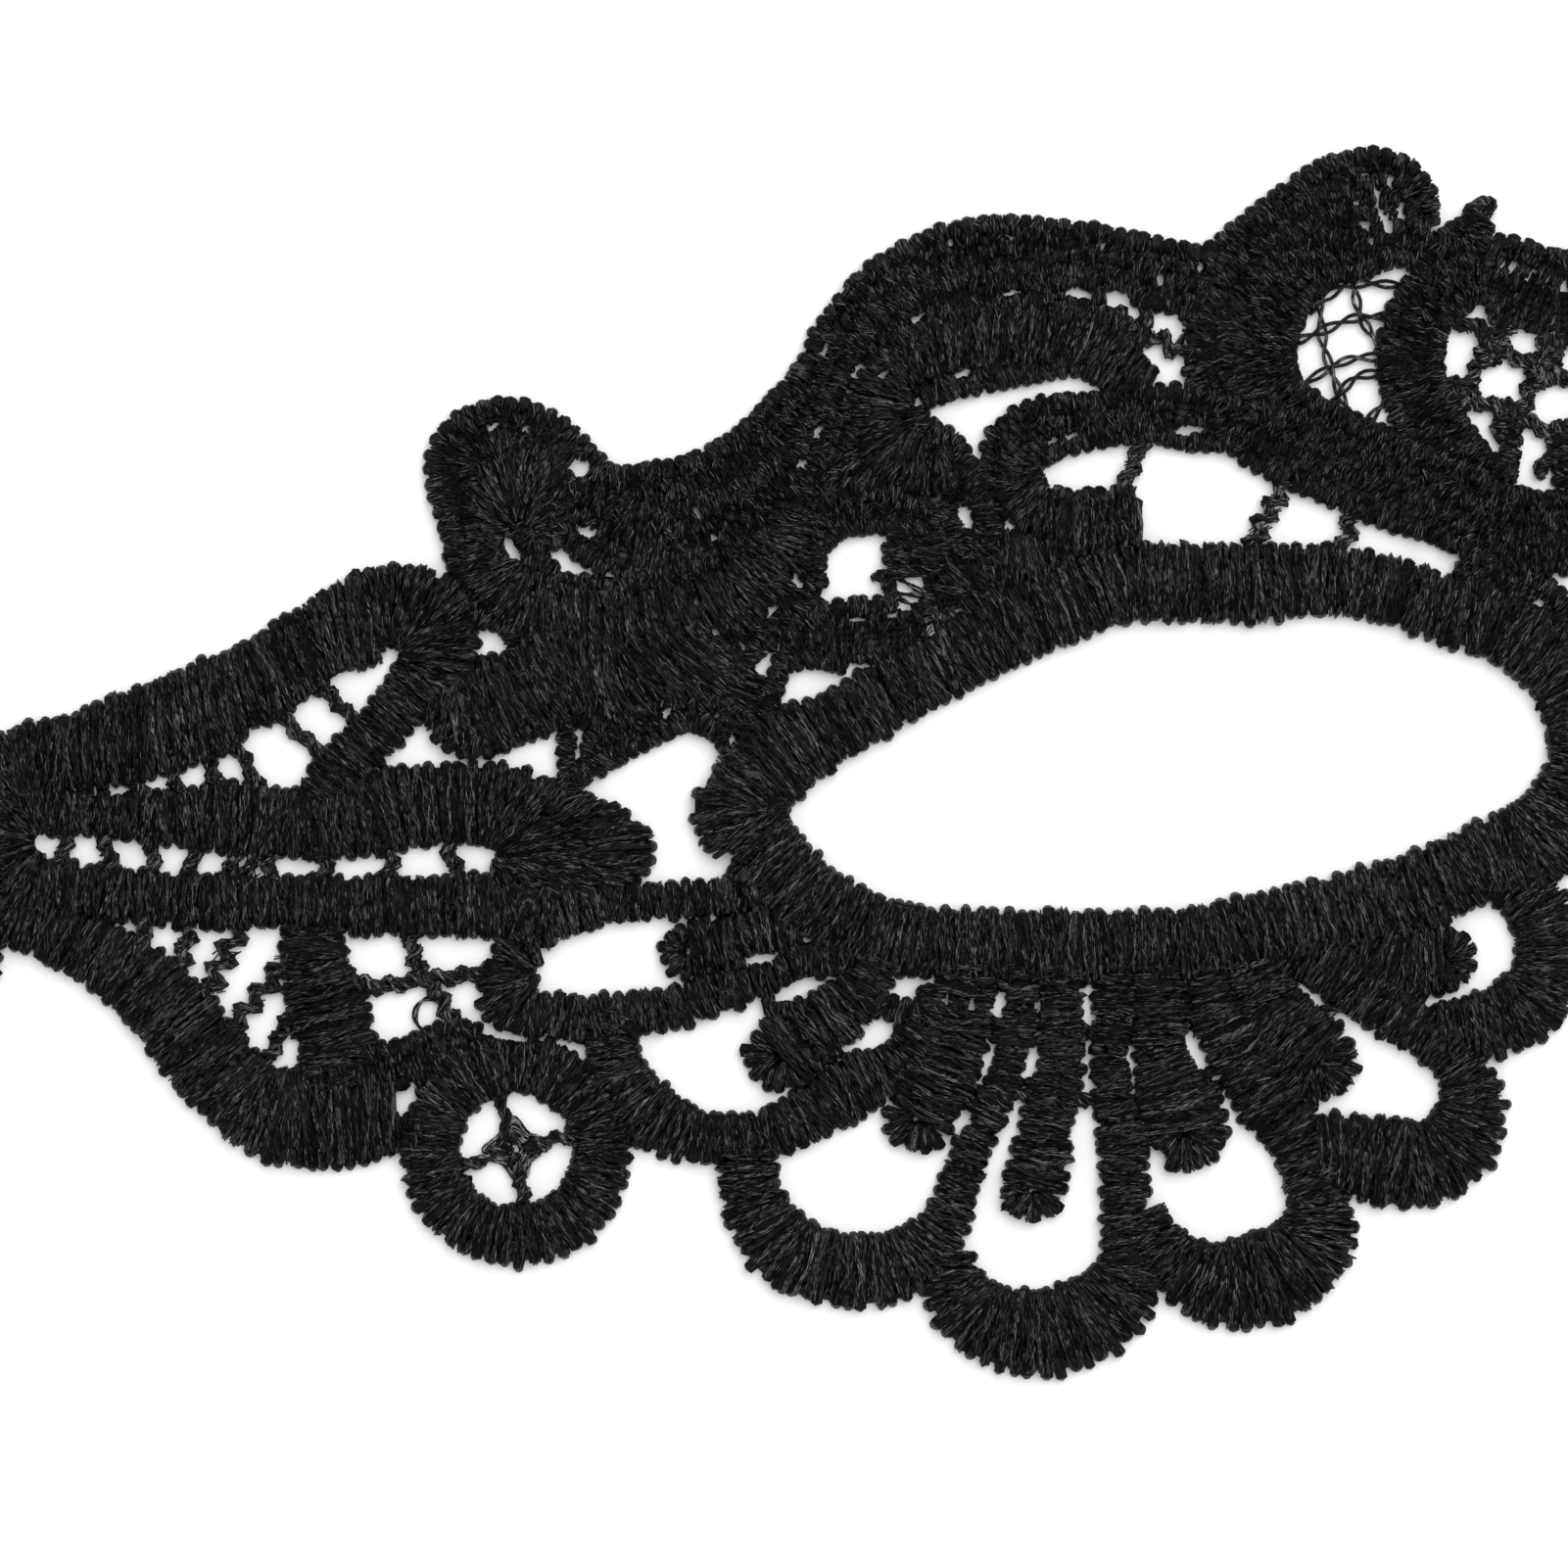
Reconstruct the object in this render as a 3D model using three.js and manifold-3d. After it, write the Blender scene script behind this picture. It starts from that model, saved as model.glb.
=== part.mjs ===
import * as THREE from "three";
import { mergeVertices } from "three/addons/utils/BufferGeometryUtils.js";
import Module from "manifold-3d";

// Thread heights above the table, in millimetres.
const satinHeight = 1.4;
const ribHeight = 1.2;
const cordHeight = 0.9;
const gauzeHeight = 0.6;

// The half pattern is drawn tilted, temple at the left and nose line at the right.
const tilt = THREE.MathUtils.degToRad(16.5);
const noseX = 114.8;
const noseY = 64.1;
const middleY = 1.51;

const cordWidth = 1.1;
const netThreadWidth = 0.55;
const step = 1.5;
const edgeTolerance = 0.1;

const shapes = [];

const spline = (p0, p1, p2, p3, t) => {
  const a = 2 * p1;
  const b = p2 - p0;
  const c = 2 * p0 - 5 * p1 + 4 * p2 - p3;
  const d = 3 * p1 - p0 - 3 * p2 + p3;
  return (a + b * t + c * t * t + d * t * t * t) / 2;
};

const smooth = (stations, closed) => {
  const count = stations.length;
  const at = (i) => stations[closed ? (i + count) % count : Math.min(Math.max(i, 0), count - 1)];
  const result = [];
  const spans = closed ? count : count - 1;
  for (let i = 0; i < spans; i += 1) {
    const length = Math.hypot(at(i + 1)[0] - at(i)[0], at(i + 1)[1] - at(i)[1]);
    const parts = Math.max(1, Math.round(length / step));
    for (let j = 0; j < parts; j += 1) {
      result.push(at(i).map((value, k) => (
        spline(at(i - 1)[k], value, at(i + 1)[k], at(i + 2)[k], j / parts)
      )));
    }
  }
  if (!closed) {
    result.push([...stations[count - 1]]);
  }
  return result;
};

// A row of stitches laid across a centre line: every station is x, y, width.
const band = (height, stations, { closed = false, round = "" } = {}) => {
  const line = smooth(stations, closed);
  const count = line.length;
  const turns = line.map((_, i) => {
    const before = line[closed ? (i - 1 + count) % count : Math.max(i - 1, 0)];
    const after = line[closed ? (i + 1) % count : Math.min(i + 1, count - 1)];
    return Math.atan2(after[1] - before[1], after[0] - before[0]);
  });
  const edge = (side) => {
    const kept = [];
    line.forEach(([x, y, width], i) => {
      const [forwardX, forwardY] = [Math.cos(turns[i]), Math.sin(turns[i])];
      const point = [x - side * forwardY * width / 2, y + side * forwardX * width / 2];
      const last = kept[kept.length - 1];
      if (!last || (point[0] - last[0]) * forwardX + (point[1] - last[1]) * forwardY > 0) {
        kept.push(point);
      }
    });
    return kept;
  };
  const cap = (i, from) => {
    const [x, y, width] = line[i];
    return [1, 2, 3, 4, 5].map((k) => {
      const angle = turns[i] + from - Math.PI * k / 6;
      return [x + Math.cos(angle) * width / 2, y + Math.sin(angle) * width / 2];
    });
  };
  const endCap = round.includes("end") ? cap(count - 1, Math.PI / 2) : [];
  const startCap = round.includes("start") ? cap(0, -Math.PI / 2) : [];
  shapes.push({ height, left: edge(1), right: edge(-1), endCap, startCap, closed });
};

// Stitches spread round a point: every ray is angle in degrees, inner and outer radius.
const fan = (height, [x, y], rays) => {
  const left = [];
  const right = [];
  for (const [angle, inner, outer] of smoothRays(rays)) {
    const turn = THREE.MathUtils.degToRad(angle);
    left.push([x + Math.cos(turn) * outer, y + Math.sin(turn) * outer]);
    right.push([x + Math.cos(turn) * inner, y + Math.sin(turn) * inner]);
  }
  shapes.push({ height, left, right, endCap: [], startCap: [], closed: false });
};

const smoothRays = (rays) => {
  const result = [];
  const at = (i) => rays[Math.min(Math.max(i, 0), rays.length - 1)];
  for (let i = 0; i < rays.length - 1; i += 1) {
    const reach = Math.max(rays[i][2], rays[i + 1][2]);
    const sweep = THREE.MathUtils.degToRad(Math.abs(rays[i + 1][0] - rays[i][0]));
    const parts = Math.max(1, Math.round(sweep * reach / step));
    for (let j = 0; j < parts; j += 1) {
      result.push(at(i).map((value, k) => (
        spline(at(i - 1)[k], value, at(i + 1)[k], at(i + 2)[k], j / parts)
      )));
    }
  }
  result.push(rays[rays.length - 1]);
  return result;
};

const cord = (points, width = cordWidth, height = cordHeight) => {
  band(height, points.map(([x, y]) => [x, y, width]));
};

const ring = (height, x, y, inner, outer, sides) => {
  const stations = [];
  for (let i = 0; i < sides; i += 1) {
    const turn = -2 * Math.PI * i / sides;
    const middle = (inner + outer) / 2;
    stations.push([x + Math.cos(turn) * middle, y + Math.sin(turn) * middle, outer - inner]);
  }
  band(height, stations, { closed: true });
};

// Temple leaf: upper border, veins, lower border and the column beside the cords.
band(satinHeight, [[-2.4, 50.2, 2.2], [-1.3, 52.4, 3.6], [0.4, 54.2, 4.6], [2.4, 55, 5], [5, 55.5, 5.6],
  [8, 56.5, 6.4], [13, 58, 6.5], [18, 60.4, 6], [22, 63.2, 5.7], [25.4, 64.6, 6.4]]);
fan(satinHeight, [26.7, 61.9], [[118, 0.8, 6], [100, 0.6, 6.2], [80, 0.4, 6.4], [60, 0.4, 6.5],
  [45, 0.4, 7], [20, 0.4, 6.2], [0, 0.4, 5.7], [-30, 0.4, 4.8], [-55, 0.6, 4.2]]);
band(satinHeight, [[28.7, 60.3, 4.4], [27.3, 58.4, 3.5], [25.3, 56.2, 3.4], [23.2, 54, 3.6],
  [21.8, 52.2, 3.4]]);
fan(satinHeight, [3.2, 48.9], [[90, 0.7, 4.2], [135, 0.7, 4.8], [180, 0.7, 5.4], [225, 0.7, 5],
  [270, 0.7, 4.8]]);
band(satinHeight, [[3, 51.3, 3.6], [5.4, 51.3, 3.4], [8, 50.9, 2.9], [11, 50.8, 3.6], [14, 50.9, 4],
  [17, 50.9, 4.5], [20, 50.5, 4.2], [24, 51, 5.2], [28, 51.8, 5.5], [32, 52, 5.4], [34.2, 51.7, 5.6]]);
fan(satinHeight, [33.5, 48.5], [[95, 0.3, 6.1], [65, 0.3, 6.1], [45, 0.3, 7], [28, 0.3, 8.6],
  [15, 0.3, 10.4], [5, 0.3, 11], [-4, 0.3, 10.8], [-10, 0.3, 10], [-30, 0.3, 5.6], [-60, 0.3, 5],
  [-90, 0.3, 5]]);
band(satinHeight, [[2.8, 46.2, 3.6], [6, 46, 3.6], [10, 45.6, 3.7], [15, 45.3, 3.5], [20, 45.1, 3.2],
  [25, 44.8, 3.4], [30, 44.9, 3.7], [34.6, 44.8, 4.2], [37, 44.3, 4.9], [39.4, 44.8, 3.7],
  [41.2, 45.2, 2.7], [45, 45.3, 2.3], [50.5, 45.8, 2.6], [52.6, 45.8, 2.8]]);
band(satinHeight, [[-2.2, 47.4, 2.2], [-1.1, 45.7, 3.4], [0.4, 44.5, 3.8], [2, 43.7, 4.2], [5, 42.5, 4.6],
  [8.8, 40.4, 5.4], [11.4, 37.8, 5.8], [14.2, 34.4, 6.1], [16.8, 31.5, 5.8], [19.5, 30.6, 6.7],
  [22.5, 30.8, 7.2], [26.9, 31, 6]]);
band(satinHeight, [[21.3, 43.8, 4.6], [21.4, 41.5, 4.5], [21.9, 39.5, 5], [22.5, 37.2, 5.6], [23, 35, 5.4],
  [23.2, 32.8, 4.6]]);
band(ribHeight, [[26.4, 29.6, 2.6], [28.6, 29.6, 2.6]]);
band(ribHeight, [[25.2, 33.6, 3.2], [28.3, 34.6, 3.2], [31, 35.6, 3.6], [33.2, 36.4, 1.8]]);

// Cords that hold the leaf's cells open.
cord([[9.3, 51.8], [9.3, 54]]);
cord([[11.8, 52.2], [12.1, 55]]);
cord([[14.4, 52.6], [14.2, 55.8]]);
cord([[17.6, 53.2], [15.9, 56.2]]);
cord([[17.9, 58.6], [19.4, 57.8], [20.4, 56.8], [22, 55.7]]);
cord([[21, 60.4], [22.4, 59.5], [23.3, 58.5], [24.9, 57.6]]);
cord([[4.3, 47.6], [4.3, 50.2]]);
cord([[7.3, 47.4], [7.3, 49.8]]);
cord([[10.4, 47], [10.4, 49.4]]);
cord([[13, 46.8], [13.1, 49.2]]);
cord([[16.5, 46.8], [16.4, 49]]);
cord([[17.9, 46.6], [18.1, 48.8]]);
cord([[22, 46.4], [22, 48.8]], 1.5);
cord([[26.3, 46.2], [26.4, 48.8]], 1.4);
cord([[30.3, 49.6], [31, 46.4]]);
cord([[9.8, 44.4], [9.6, 42]]);
cord([[13.1, 44], [12.5, 41]], 1.5);
cord([[16.8, 44], [14.4, 39]], 1.4);
cord([[19.8, 41.2], [16.3, 36.9]], 1.5);
cord([[20.4, 37.8], [18.2, 34.4]], 1.4);
cord([[28.3, 44], [28.5, 42], [28.9, 40.6], [29.7, 39.3], [30.5, 38], [31.6, 36.6]], 1.2);
cord([[23.6, 40.4], [25.2, 39.7], [27, 39.8], [29, 40.3], [31.2, 40.4], [33.6, 41]], 1.1);

// Temple ring with its web, and the eyelet for the tie.
ring(satinHeight, 35.12, 28.35, 3.95, 7.9, 18);
cord([[33.9, 32.6], [34.3, 31], [34.5, 29.6]], 1.1, gauzeHeight);
cord([[39.6, 29.2], [37.6, 28.9], [36, 28.7]], 0.9, gauzeHeight);
cord([[31.2, 27], [33, 27.5], [34.4, 28]], 0.9, gauzeHeight);
cord([[35.9, 24], [35.7, 25.8], [35.3, 27.4]], 1, gauzeHeight);
band(gauzeHeight, [[34.4, 29.9, 1.4], [35, 28.9, 3], [35, 27.8, 2.8], [35.4, 26.6, 1.2]]);
ring(satinHeight, -3.6, 42.1, 1.5, 3.8, 12);

// Scallops below the eye, each with a finger of close stitches inside it.
fan(satinHeight, [36.9, 40.4], [[100, 0.5, 3.4], [135, 0.5, 3.9], [165, 0.5, 3.8], [190, 0.4, 4],
  [215, 0.4, 4.7], [240, 0.6, 4.8], [262, 1.3, 4.3]]);
band(satinHeight, [[36.6, 37.7, 3], [40, 37.3, 3.1], [43, 37.7, 3], [46, 38.1, 2.8], [49, 39.2, 2.7],
  [52, 40.1, 2.5], [55, 41.2, 2.6], [58, 41.6, 2.4]]);
band(satinHeight, [[46.9, 42.1, 3.6], [49.5, 42.4, 3.9], [52, 43.2, 3.4], [55.4, 43.6, 3.4]],
  { round: "start" });
band(satinHeight, [[42, 38, 3.4], [41.6, 35.6, 3.4], [42.2, 33, 4.2], [44.3, 30.8, 4.8], [47, 29.6, 3.9],
  [49.5, 29.2, 3.5], [52, 29.5, 3.2], [54.6, 30.6, 3.8], [57.4, 32.4, 4.5], [60, 33.8, 3.7],
  [62.2, 35.6, 3.6], [64, 38.6, 3]]);
band(satinHeight, [[52.9, 34.7, 4.5], [55, 35.8, 5], [57.1, 37.8, 4.2], [58.8, 39.6, 3.3],
  [59.8, 41.6, 3.4]], { round: "start" });
band(satinHeight, [[51, 28.6, 3.8], [51, 26.5, 4.1], [51.8, 23.9, 4.4], [53.6, 21.5, 5], [56.5, 20.4, 4.9],
  [59.5, 20.2, 4.9], [62.2, 21, 4.6], [64.3, 23.2, 3.6], [65.5, 26, 2.8], [66.3, 28.6, 2.8],
  [67.3, 31, 2.9], [68.5, 33.6, 2.3], [69.1, 37, 2.9], [69.3, 41, 2.8]]);
band(satinHeight, [[62.5, 30.6, 4.6], [63.5, 32.4, 5.1], [64.6, 34.8, 4.9], [65.2, 37, 4.6],
  [66, 41, 3.9]], { round: "start" });
band(satinHeight, [[64.6, 21.4, 3], [64.9, 18.8, 4.2], [66.4, 16.7, 5.2], [69, 15.7, 6], [72, 15.9, 6],
  [75, 17.3, 5.8], [76.9, 19.9, 4.6], [76.6, 23, 3.6], [76.5, 26, 3.2], [76.4, 29, 3.2], [75.8, 32, 2.8],
  [75.5, 34.5, 2.2], [75.7, 37, 2.8], [76, 41, 3]]);
band(satinHeight, [[70.3, 25.8, 4.6], [70.9, 28, 4.1], [71.3, 30.5, 3.8], [72, 33.4, 3.4], [72.2, 36, 3.2],
  [72, 41, 3.2]], { round: "start" });
band(satinHeight, [[78, 24.6, 3.2], [79.3, 21.8, 4], [81.5, 19.7, 5.2], [84, 19.3, 6.1], [87, 20, 6.2],
  [89.4, 22, 5.4], [89.7, 25, 4.4], [88.9, 27.4, 3.6], [87.9, 29.6, 4], [86.3, 32, 4.6], [84.9, 34.5, 4.6],
  [83.5, 37.4, 5], [82.8, 41, 4.4]]);
band(satinHeight, [[80.6, 29.9, 5.9], [80, 32.6, 5.6], [79.1, 35, 4], [78.9, 37.5, 4.2], [78.9, 41, 4]],
  { round: "start" });
band(satinHeight, [[89.6, 28.3, 4.6], [91.2, 28, 5.2], [93.5, 27.6, 6.1], [96.3, 27.3, 6.2],
  [98.9, 28.5, 5.8], [100, 30.8, 4.9], [99.6, 33.2, 4.2], [98.2, 35, 3.4], [96.2, 36.9, 3.6],
  [94.2, 38.4, 4.2], [92.2, 40, 4.4], [90.2, 41.4, 4.6], [88, 42.4, 4.4]]);
band(satinHeight, [[89.5, 34.5, 5.6], [88, 36, 5.6], [86.4, 38, 4.8], [85.2, 41, 5]], { round: "start" });
band(satinHeight, [[97.8, 36.6, 4], [100.2, 36.8, 4.3], [102.5, 37.4, 4.6], [104.6, 39, 4.7],
  [105.2, 42, 3.9], [104.7, 44.7, 4.2], [103.2, 46.4, 4.2], [101.4, 48, 3.4]]);
band(satinHeight, [[98.2, 41.4, 4.6], [96, 41.4, 5.2], [92.6, 42.4, 6.4]], { round: "start" });

cord([[72.6, 36.2], [75.2, 36.2]], 1.5);
cord([[72.6, 32.2], [75.4, 32.2]], 1);

// Eye ring.
band(satinHeight, [[50.9, 50, 5.8], [50.4, 52.2, 6.6], [52.7, 55.1, 5.4], [56.3, 57.3, 5], [62.1, 60.1, 5],
  [68.2, 63.5, 5.1], [73.1, 65.7, 5.2], [77, 67, 5.2], [85, 66.9, 5.2], [89.6, 67.3, 4.8], [94, 66.8, 4.6],
  [98.9, 65.1, 4.7], [102.4, 63.9, 4.8], [106.2, 60.5, 4.9], [107.8, 56.8, 5], [106.9, 52.9, 5.2],
  [104.6, 49.4, 5.9], [100.5, 47.9, 5.2], [96.7, 46.1, 5.4], [92.5, 45, 5], [88.6, 43.9, 5], [85, 43.2, 5],
  [81.6, 42.4, 4.9], [76.5, 42.3, 4.8], [68.1, 42.3, 4.8], [63, 42.5, 4.8], [59.7, 43.2, 4.8],
  [55.8, 45.1, 5], [53, 47.4, 5.2]], { closed: true });

// Temple scroll and the bands that sweep over the eye.
band(ribHeight, [[32.2, 66.6, 2.6], [31.4, 69.5, 3], [30.8, 73.4, 3.6], [31.2, 76.2, 3.7], [33.7, 77.8, 4],
  [36.8, 77.1, 3.5], [39, 75.2, 3.4], [41, 73.4, 3.2]]);
fan(satinHeight, [35, 69.8], [[-10, 0.3, 3.4], [20, 0.3, 4.6], [45, 0.3, 5], [70, 0.3, 5.8],
  [90, 0.3, 6.4], [120, 0.3, 6], [150, 0.3, 3.9], [180, 0.3, 3], [215, 0.3, 3], [250, 0.3, 3.4]]);
fan(satinHeight, [37.8, 68.6], [[165, 0.7, 6.4], [185, 0.7, 6.8], [205, 0.7, 6.2], [225, 0.7, 5.6],
  [250, 0.7, 5.6], [272, 0.7, 5.8]]);
band(satinHeight, [[37.4, 65.4, 5.4], [42, 64.9, 5.6], [46, 65.2, 5.4], [50, 66.5, 5.2], [53.4, 69.2, 5],
  [55, 72.4, 4.6]]);
band(ribHeight, [[36.2, 69.4, 1.6], [39, 71.6, 4.6], [42.6, 69.8, 5.6], [47, 69.8, 5], [51, 71.6, 4.4],
  [54.8, 74.2, 5.8], [56.4, 77.6, 4.4], [57.4, 80, 4]]);
band(satinHeight, [[40.4, 73.2, 3.4], [44, 73, 4], [47.5, 73.9, 4.2], [50.4, 75.3, 4.4], [53, 77.2, 4.4],
  [55.2, 80.3, 4.2], [57, 83.6, 4.2], [58.9, 86.1, 4.2], [61.8, 88, 4.2], [65.4, 89.5, 4.4],
  [69, 89.9, 4.5], [74, 89.4, 4.4], [78.5, 88.4, 4.3], [82.4, 87.6, 4]]);
band(ribHeight, [[58.6, 82.4, 3.6], [61.5, 85.2, 4], [66, 86.6, 4], [71, 86.4, 4], [74.4, 86.2, 3],
  [77.4, 86.7, 2.6], [80, 86.6, 2.4]]);
fan(satinHeight, [63.4, 78.4], [[84, 2, 7.4], [110, 1.2, 7.4], [140, 0.9, 7.4], [170, 0.5, 7.2],
  [200, 0.5, 7.2], [225, 0.6, 7.6], [250, 0.6, 7.8], [272, 0.7, 7.6], [288, 1, 7.6], [302, 2.6, 8],
  [312, 4.2, 8]]);
band(satinHeight, [[62.6, 82.8, 5.6], [67, 82.8, 6], [70.5, 83.2, 5.4], [73.6, 83.2, 5], [76.2, 82.2, 5],
  [77.4, 80.8, 4.2]]);
band(ribHeight, [[87, 77.4, 3.2], [82, 78, 4.2], [78, 78.5, 4.4], [74, 78.4, 4], [70.7, 77.4, 4.5],
  [69.1, 74.8, 4.7], [70.1, 71.9, 4.9], [73, 70.8, 5], [75.9, 71.2, 4.4]], { round: "end" });
band(satinHeight, [[64, 73.4, 4], [64.5, 70.8, 7.4], [64.6, 68, 6.6], [65.2, 65.2, 5.6]]);
band(satinHeight, [[65, 66, 3.8], [67.4, 67.7, 5.8], [70, 68, 4.8], [73, 68.6, 3]]);
band(satinHeight, [[29.4, 59.2, 3], [31, 58.4, 4.9], [33, 58.5, 6.2], [35.2, 59.1, 6], [37.4, 59.8, 5.8],
  [40, 60.6, 5.4]]);
band(ribHeight, [[31.4, 66.2, 2.2], [32.9, 65, 2.6], [34.5, 63.9, 2], [35.2, 62, 1.8], [35.2, 60.6, 2]]);
band(satinHeight, [[35.4, 61.8, 3.6], [38.6, 61.4, 6], [41.4, 60, 6.4], [44.6, 60.3, 6.4], [48, 61, 6.4],
  [50.2, 61.8, 5]]);
band(ribHeight, [[40.2, 54.2, 1.6], [41.2, 55.8, 3.4], [43.4, 57.1, 3], [46.8, 58.7, 3.6],
  [49.4, 57.6, 3.2], [50.8, 55.6, 3.2]]);
band(ribHeight, [[37.8, 58.2, 2.2], [41, 58.2, 2.6]]);
band(ribHeight, [[38.7, 57.8, 1.4], [38.6, 55.2, 1.1], [38.9, 52.6, 1.8]]);
band(ribHeight, [[51.4, 57.2, 3.2], [52.4, 59.2, 1.7], [52.9, 60.8, 1.2], [53.8, 62.2, 1.8],
  [55.8, 63.2, 3.9], [59, 63.4, 4.8], [63, 64, 4.4]]);
band(ribHeight, [[50.6, 62.8, 2.6], [52.2, 64.6, 4], [54, 67, 3.6], [54.4, 69.4, 3.4], [57, 71.8, 3.6],
  [60.4, 72.4, 4]]);
cord([[60.4, 66.4], [61.8, 65.8], [63.6, 64.6], [65.6, 63.6]], 2.8);
cord([[77.9, 77.2], [77.4, 75.8], [76.8, 74.6], [76.2, 72.8]], 1.2);
cord([[87.8, 73.6], [86.9, 72.2], [86.2, 71.2], [85.6, 69.4]], 1.3);
cord([[91.9, 72.4], [91.9, 70.8], [91.2, 69.2]], 1.3);
cord([[76, 85.3], [78.4, 84], [80.4, 83.2], [82.2, 82.8]], 1.6);
cord([[77.6, 86.9], [77.8, 84.6]], 0.9);

// Right leaf, the net beside it and the crescent that carries both.
band(ribHeight, [[97, 91.2, 2.2], [96.5, 93.4, 3], [94.7, 94.9, 3.1], [91.6, 95.1, 3.1], [88.6, 93.7, 3.3],
  [86, 91.6, 3.4], [83.4, 89.2, 3.4], [81.4, 87.6, 3.4]]);
band(satinHeight, [[97, 90, 2.4], [95.4, 90.7, 4], [93, 91.1, 6.2], [90.2, 90.7, 6.8], [87, 88.6, 6.8],
  [84.7, 85.2, 7.3], [84.7, 81.6, 7.2], [86.4, 78, 7], [90, 76, 6.7], [94.4, 74.1, 6.4], [98.8, 72.2, 5.8],
  [103, 70.2, 5.4], [107.6, 70.5, 5.6], [113.4, 71.8, 5]]);
cord([[88, 83.3], [90.4, 84.4], [93, 84.9], [94.4, 84.9]], netThreadWidth);
cord([[88.8, 80.4], [90.4, 82], [92.4, 82.5], [94, 82.7]], netThreadWidth);
cord([[91.2, 79.2], [92.2, 80.8], [94.2, 81.4]], netThreadWidth);
cord([[93, 77.8], [94, 79], [95, 79.4]], netThreadWidth);
cord([[89.8, 87.2], [89.8, 84.4], [90.4, 82.6], [91, 79]], netThreadWidth);
cord([[91.8, 88], [92.4, 85.4], [93.6, 83.4], [94.2, 82.4]], netThreadWidth);
cord([[89.6, 85.8], [91.6, 87.2], [93.4, 87.3], [95.4, 87.2]], netThreadWidth);

band(ribHeight, [[94.8, 89.6, 1.8], [97, 89.3, 3], [98.6, 88.4, 3.4]]);
band(ribHeight, [[99.4, 68.6, 2], [101.4, 67.4, 3.2], [104, 66.6, 3.4], [105.6, 66.2, 2]]);

// Heart on the nose line, its picot and its lattice.
band(satinHeight, [[109.1, 86.4, 6.4], [105.3, 86.5, 7], [101.9, 87.9, 6], [99.6, 88.2, 5.2],
  [97.4, 86.4, 4.8], [96.1, 83.4, 4.5], [96.4, 80.4, 4.6], [97.6, 77.6, 5.2], [99.8, 75, 5],
  [102.4, 72.8, 4]]);
band(satinHeight, [[98.4, 89, 4], [100.4, 90.6, 2.6], [100.8, 92.3, 1.8]], { round: "end" });
const latticeColumn = 2.4;
const latticeRow = 2.65;
const latticeFoot = 14.3;
const latticeCord = 1.5;
const fromMask = (x, y) => [
  noseX + Math.cos(tilt) * x - Math.sin(tilt) * y,
  noseY + Math.sin(tilt) * x + Math.cos(tilt) * y,
];
// Every run of the lattice: row on the nose line, first and last column, and whether it rises outward.
const latticeRuns = [[-1, 0, 4.4, 1], [0, 0, 4.2, 1], [1, 0, 1.6, 1], [0, 0, 2.2, -1], [1, 0, 3.3, -1],
  [2, 0.8, 4.3, -1],
  [3, 2.6, 4.6, -1]];
for (const [row, first, last, rise] of latticeRuns) {
  cord([first, last].map((column) => (
    fromMask(-column * latticeColumn, latticeFoot + latticeRow * (2 * row + rise * column))
  )), latticeCord);
}

// From the drawn half to the worn mask, with the middle of its height at zero.
const placed = ([x, y]) => [
  Math.cos(tilt) * (x - noseX) + Math.sin(tilt) * (y - noseY),
  -Math.sin(tilt) * (x - noseX) + Math.cos(tilt) * (y - noseY) - middleY,
];

// Keeps the points of an edge that stand off its chords by more than the tolerance.
const thinned = (points) => {
  const [first, last] = [points[0], points[points.length - 1]];
  const span = Math.hypot(last[0] - first[0], last[1] - first[1]);
  const away = points.map(([x, y]) => (span < 0.01
    ? Math.hypot(x - first[0], y - first[1])
    : Math.abs((last[0] - first[0]) * (y - first[1]) - (last[1] - first[1]) * (x - first[0])) / span));
  const farthest = away.indexOf(Math.max(...away));
  if (away[farthest] < edgeTolerance) {
    return [first, last];
  }
  return [...thinned(points.slice(0, farthest + 1)).slice(0, -1), ...thinned(points.slice(farthest))];
};

const loop = (points) => thinned([...points, points[0]]).slice(0, -1);

const wasm = await Module();
wasm.setup();

const solidFrom = (geometry) => {
  geometry.deleteAttribute("normal");
  geometry.deleteAttribute("uv");
  const merged = mergeVertices(geometry, 1e-4);
  return new wasm.Manifold(new wasm.Mesh({
    numProp: 3,
    vertProperties: merged.attributes.position.array,
    triVerts: new Uint32Array(merged.index.array),
  }));
};

const outline = (points, side) => points.map(placed).map(([x, y]) => new THREE.Vector2(side * x, y));

// A shape stands through the table and above its own height, and is cut flat later.
const tallSolid = ({ left, right, endCap, startCap, closed }, side) => {
  const shape = closed
    ? new THREE.Shape(outline(loop(left), side))
    : new THREE.Shape(outline([...thinned(left), ...endCap, ...thinned(right).reverse(), ...startCap], side));
  if (closed) {
    shape.holes.push(new THREE.Path(outline(loop(right).reverse(), side)));
  }
  const geometry = new THREE.ExtrudeGeometry(shape, { depth: satinHeight + 2, bevelEnabled: false });
  return solidFrom(geometry.translate(0, 0, -1));
};

const slab = (bottom, top) => {
  const geometry = new THREE.BoxGeometry(400, 200, top - bottom);
  return solidFrom(geometry.translate(0, 0, (top + bottom) / 2));
};

const joinAll = (solids) => solids.reduce((joined, solid) => joined.add(solid));

const layers = [satinHeight, ribHeight, cordHeight, gauzeHeight].map((height) => {
  const sameHeight = shapes.filter((shape) => shape.height === height);
  const solids = sameHeight.flatMap((shape) => [tallSolid(shape, 1), tallSolid(shape, -1)]);
  return joinAll(solids).intersect(slab(-2, height));
});
const mesh = joinAll(layers).subtract(slab(-3, 0)).getMesh();

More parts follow.
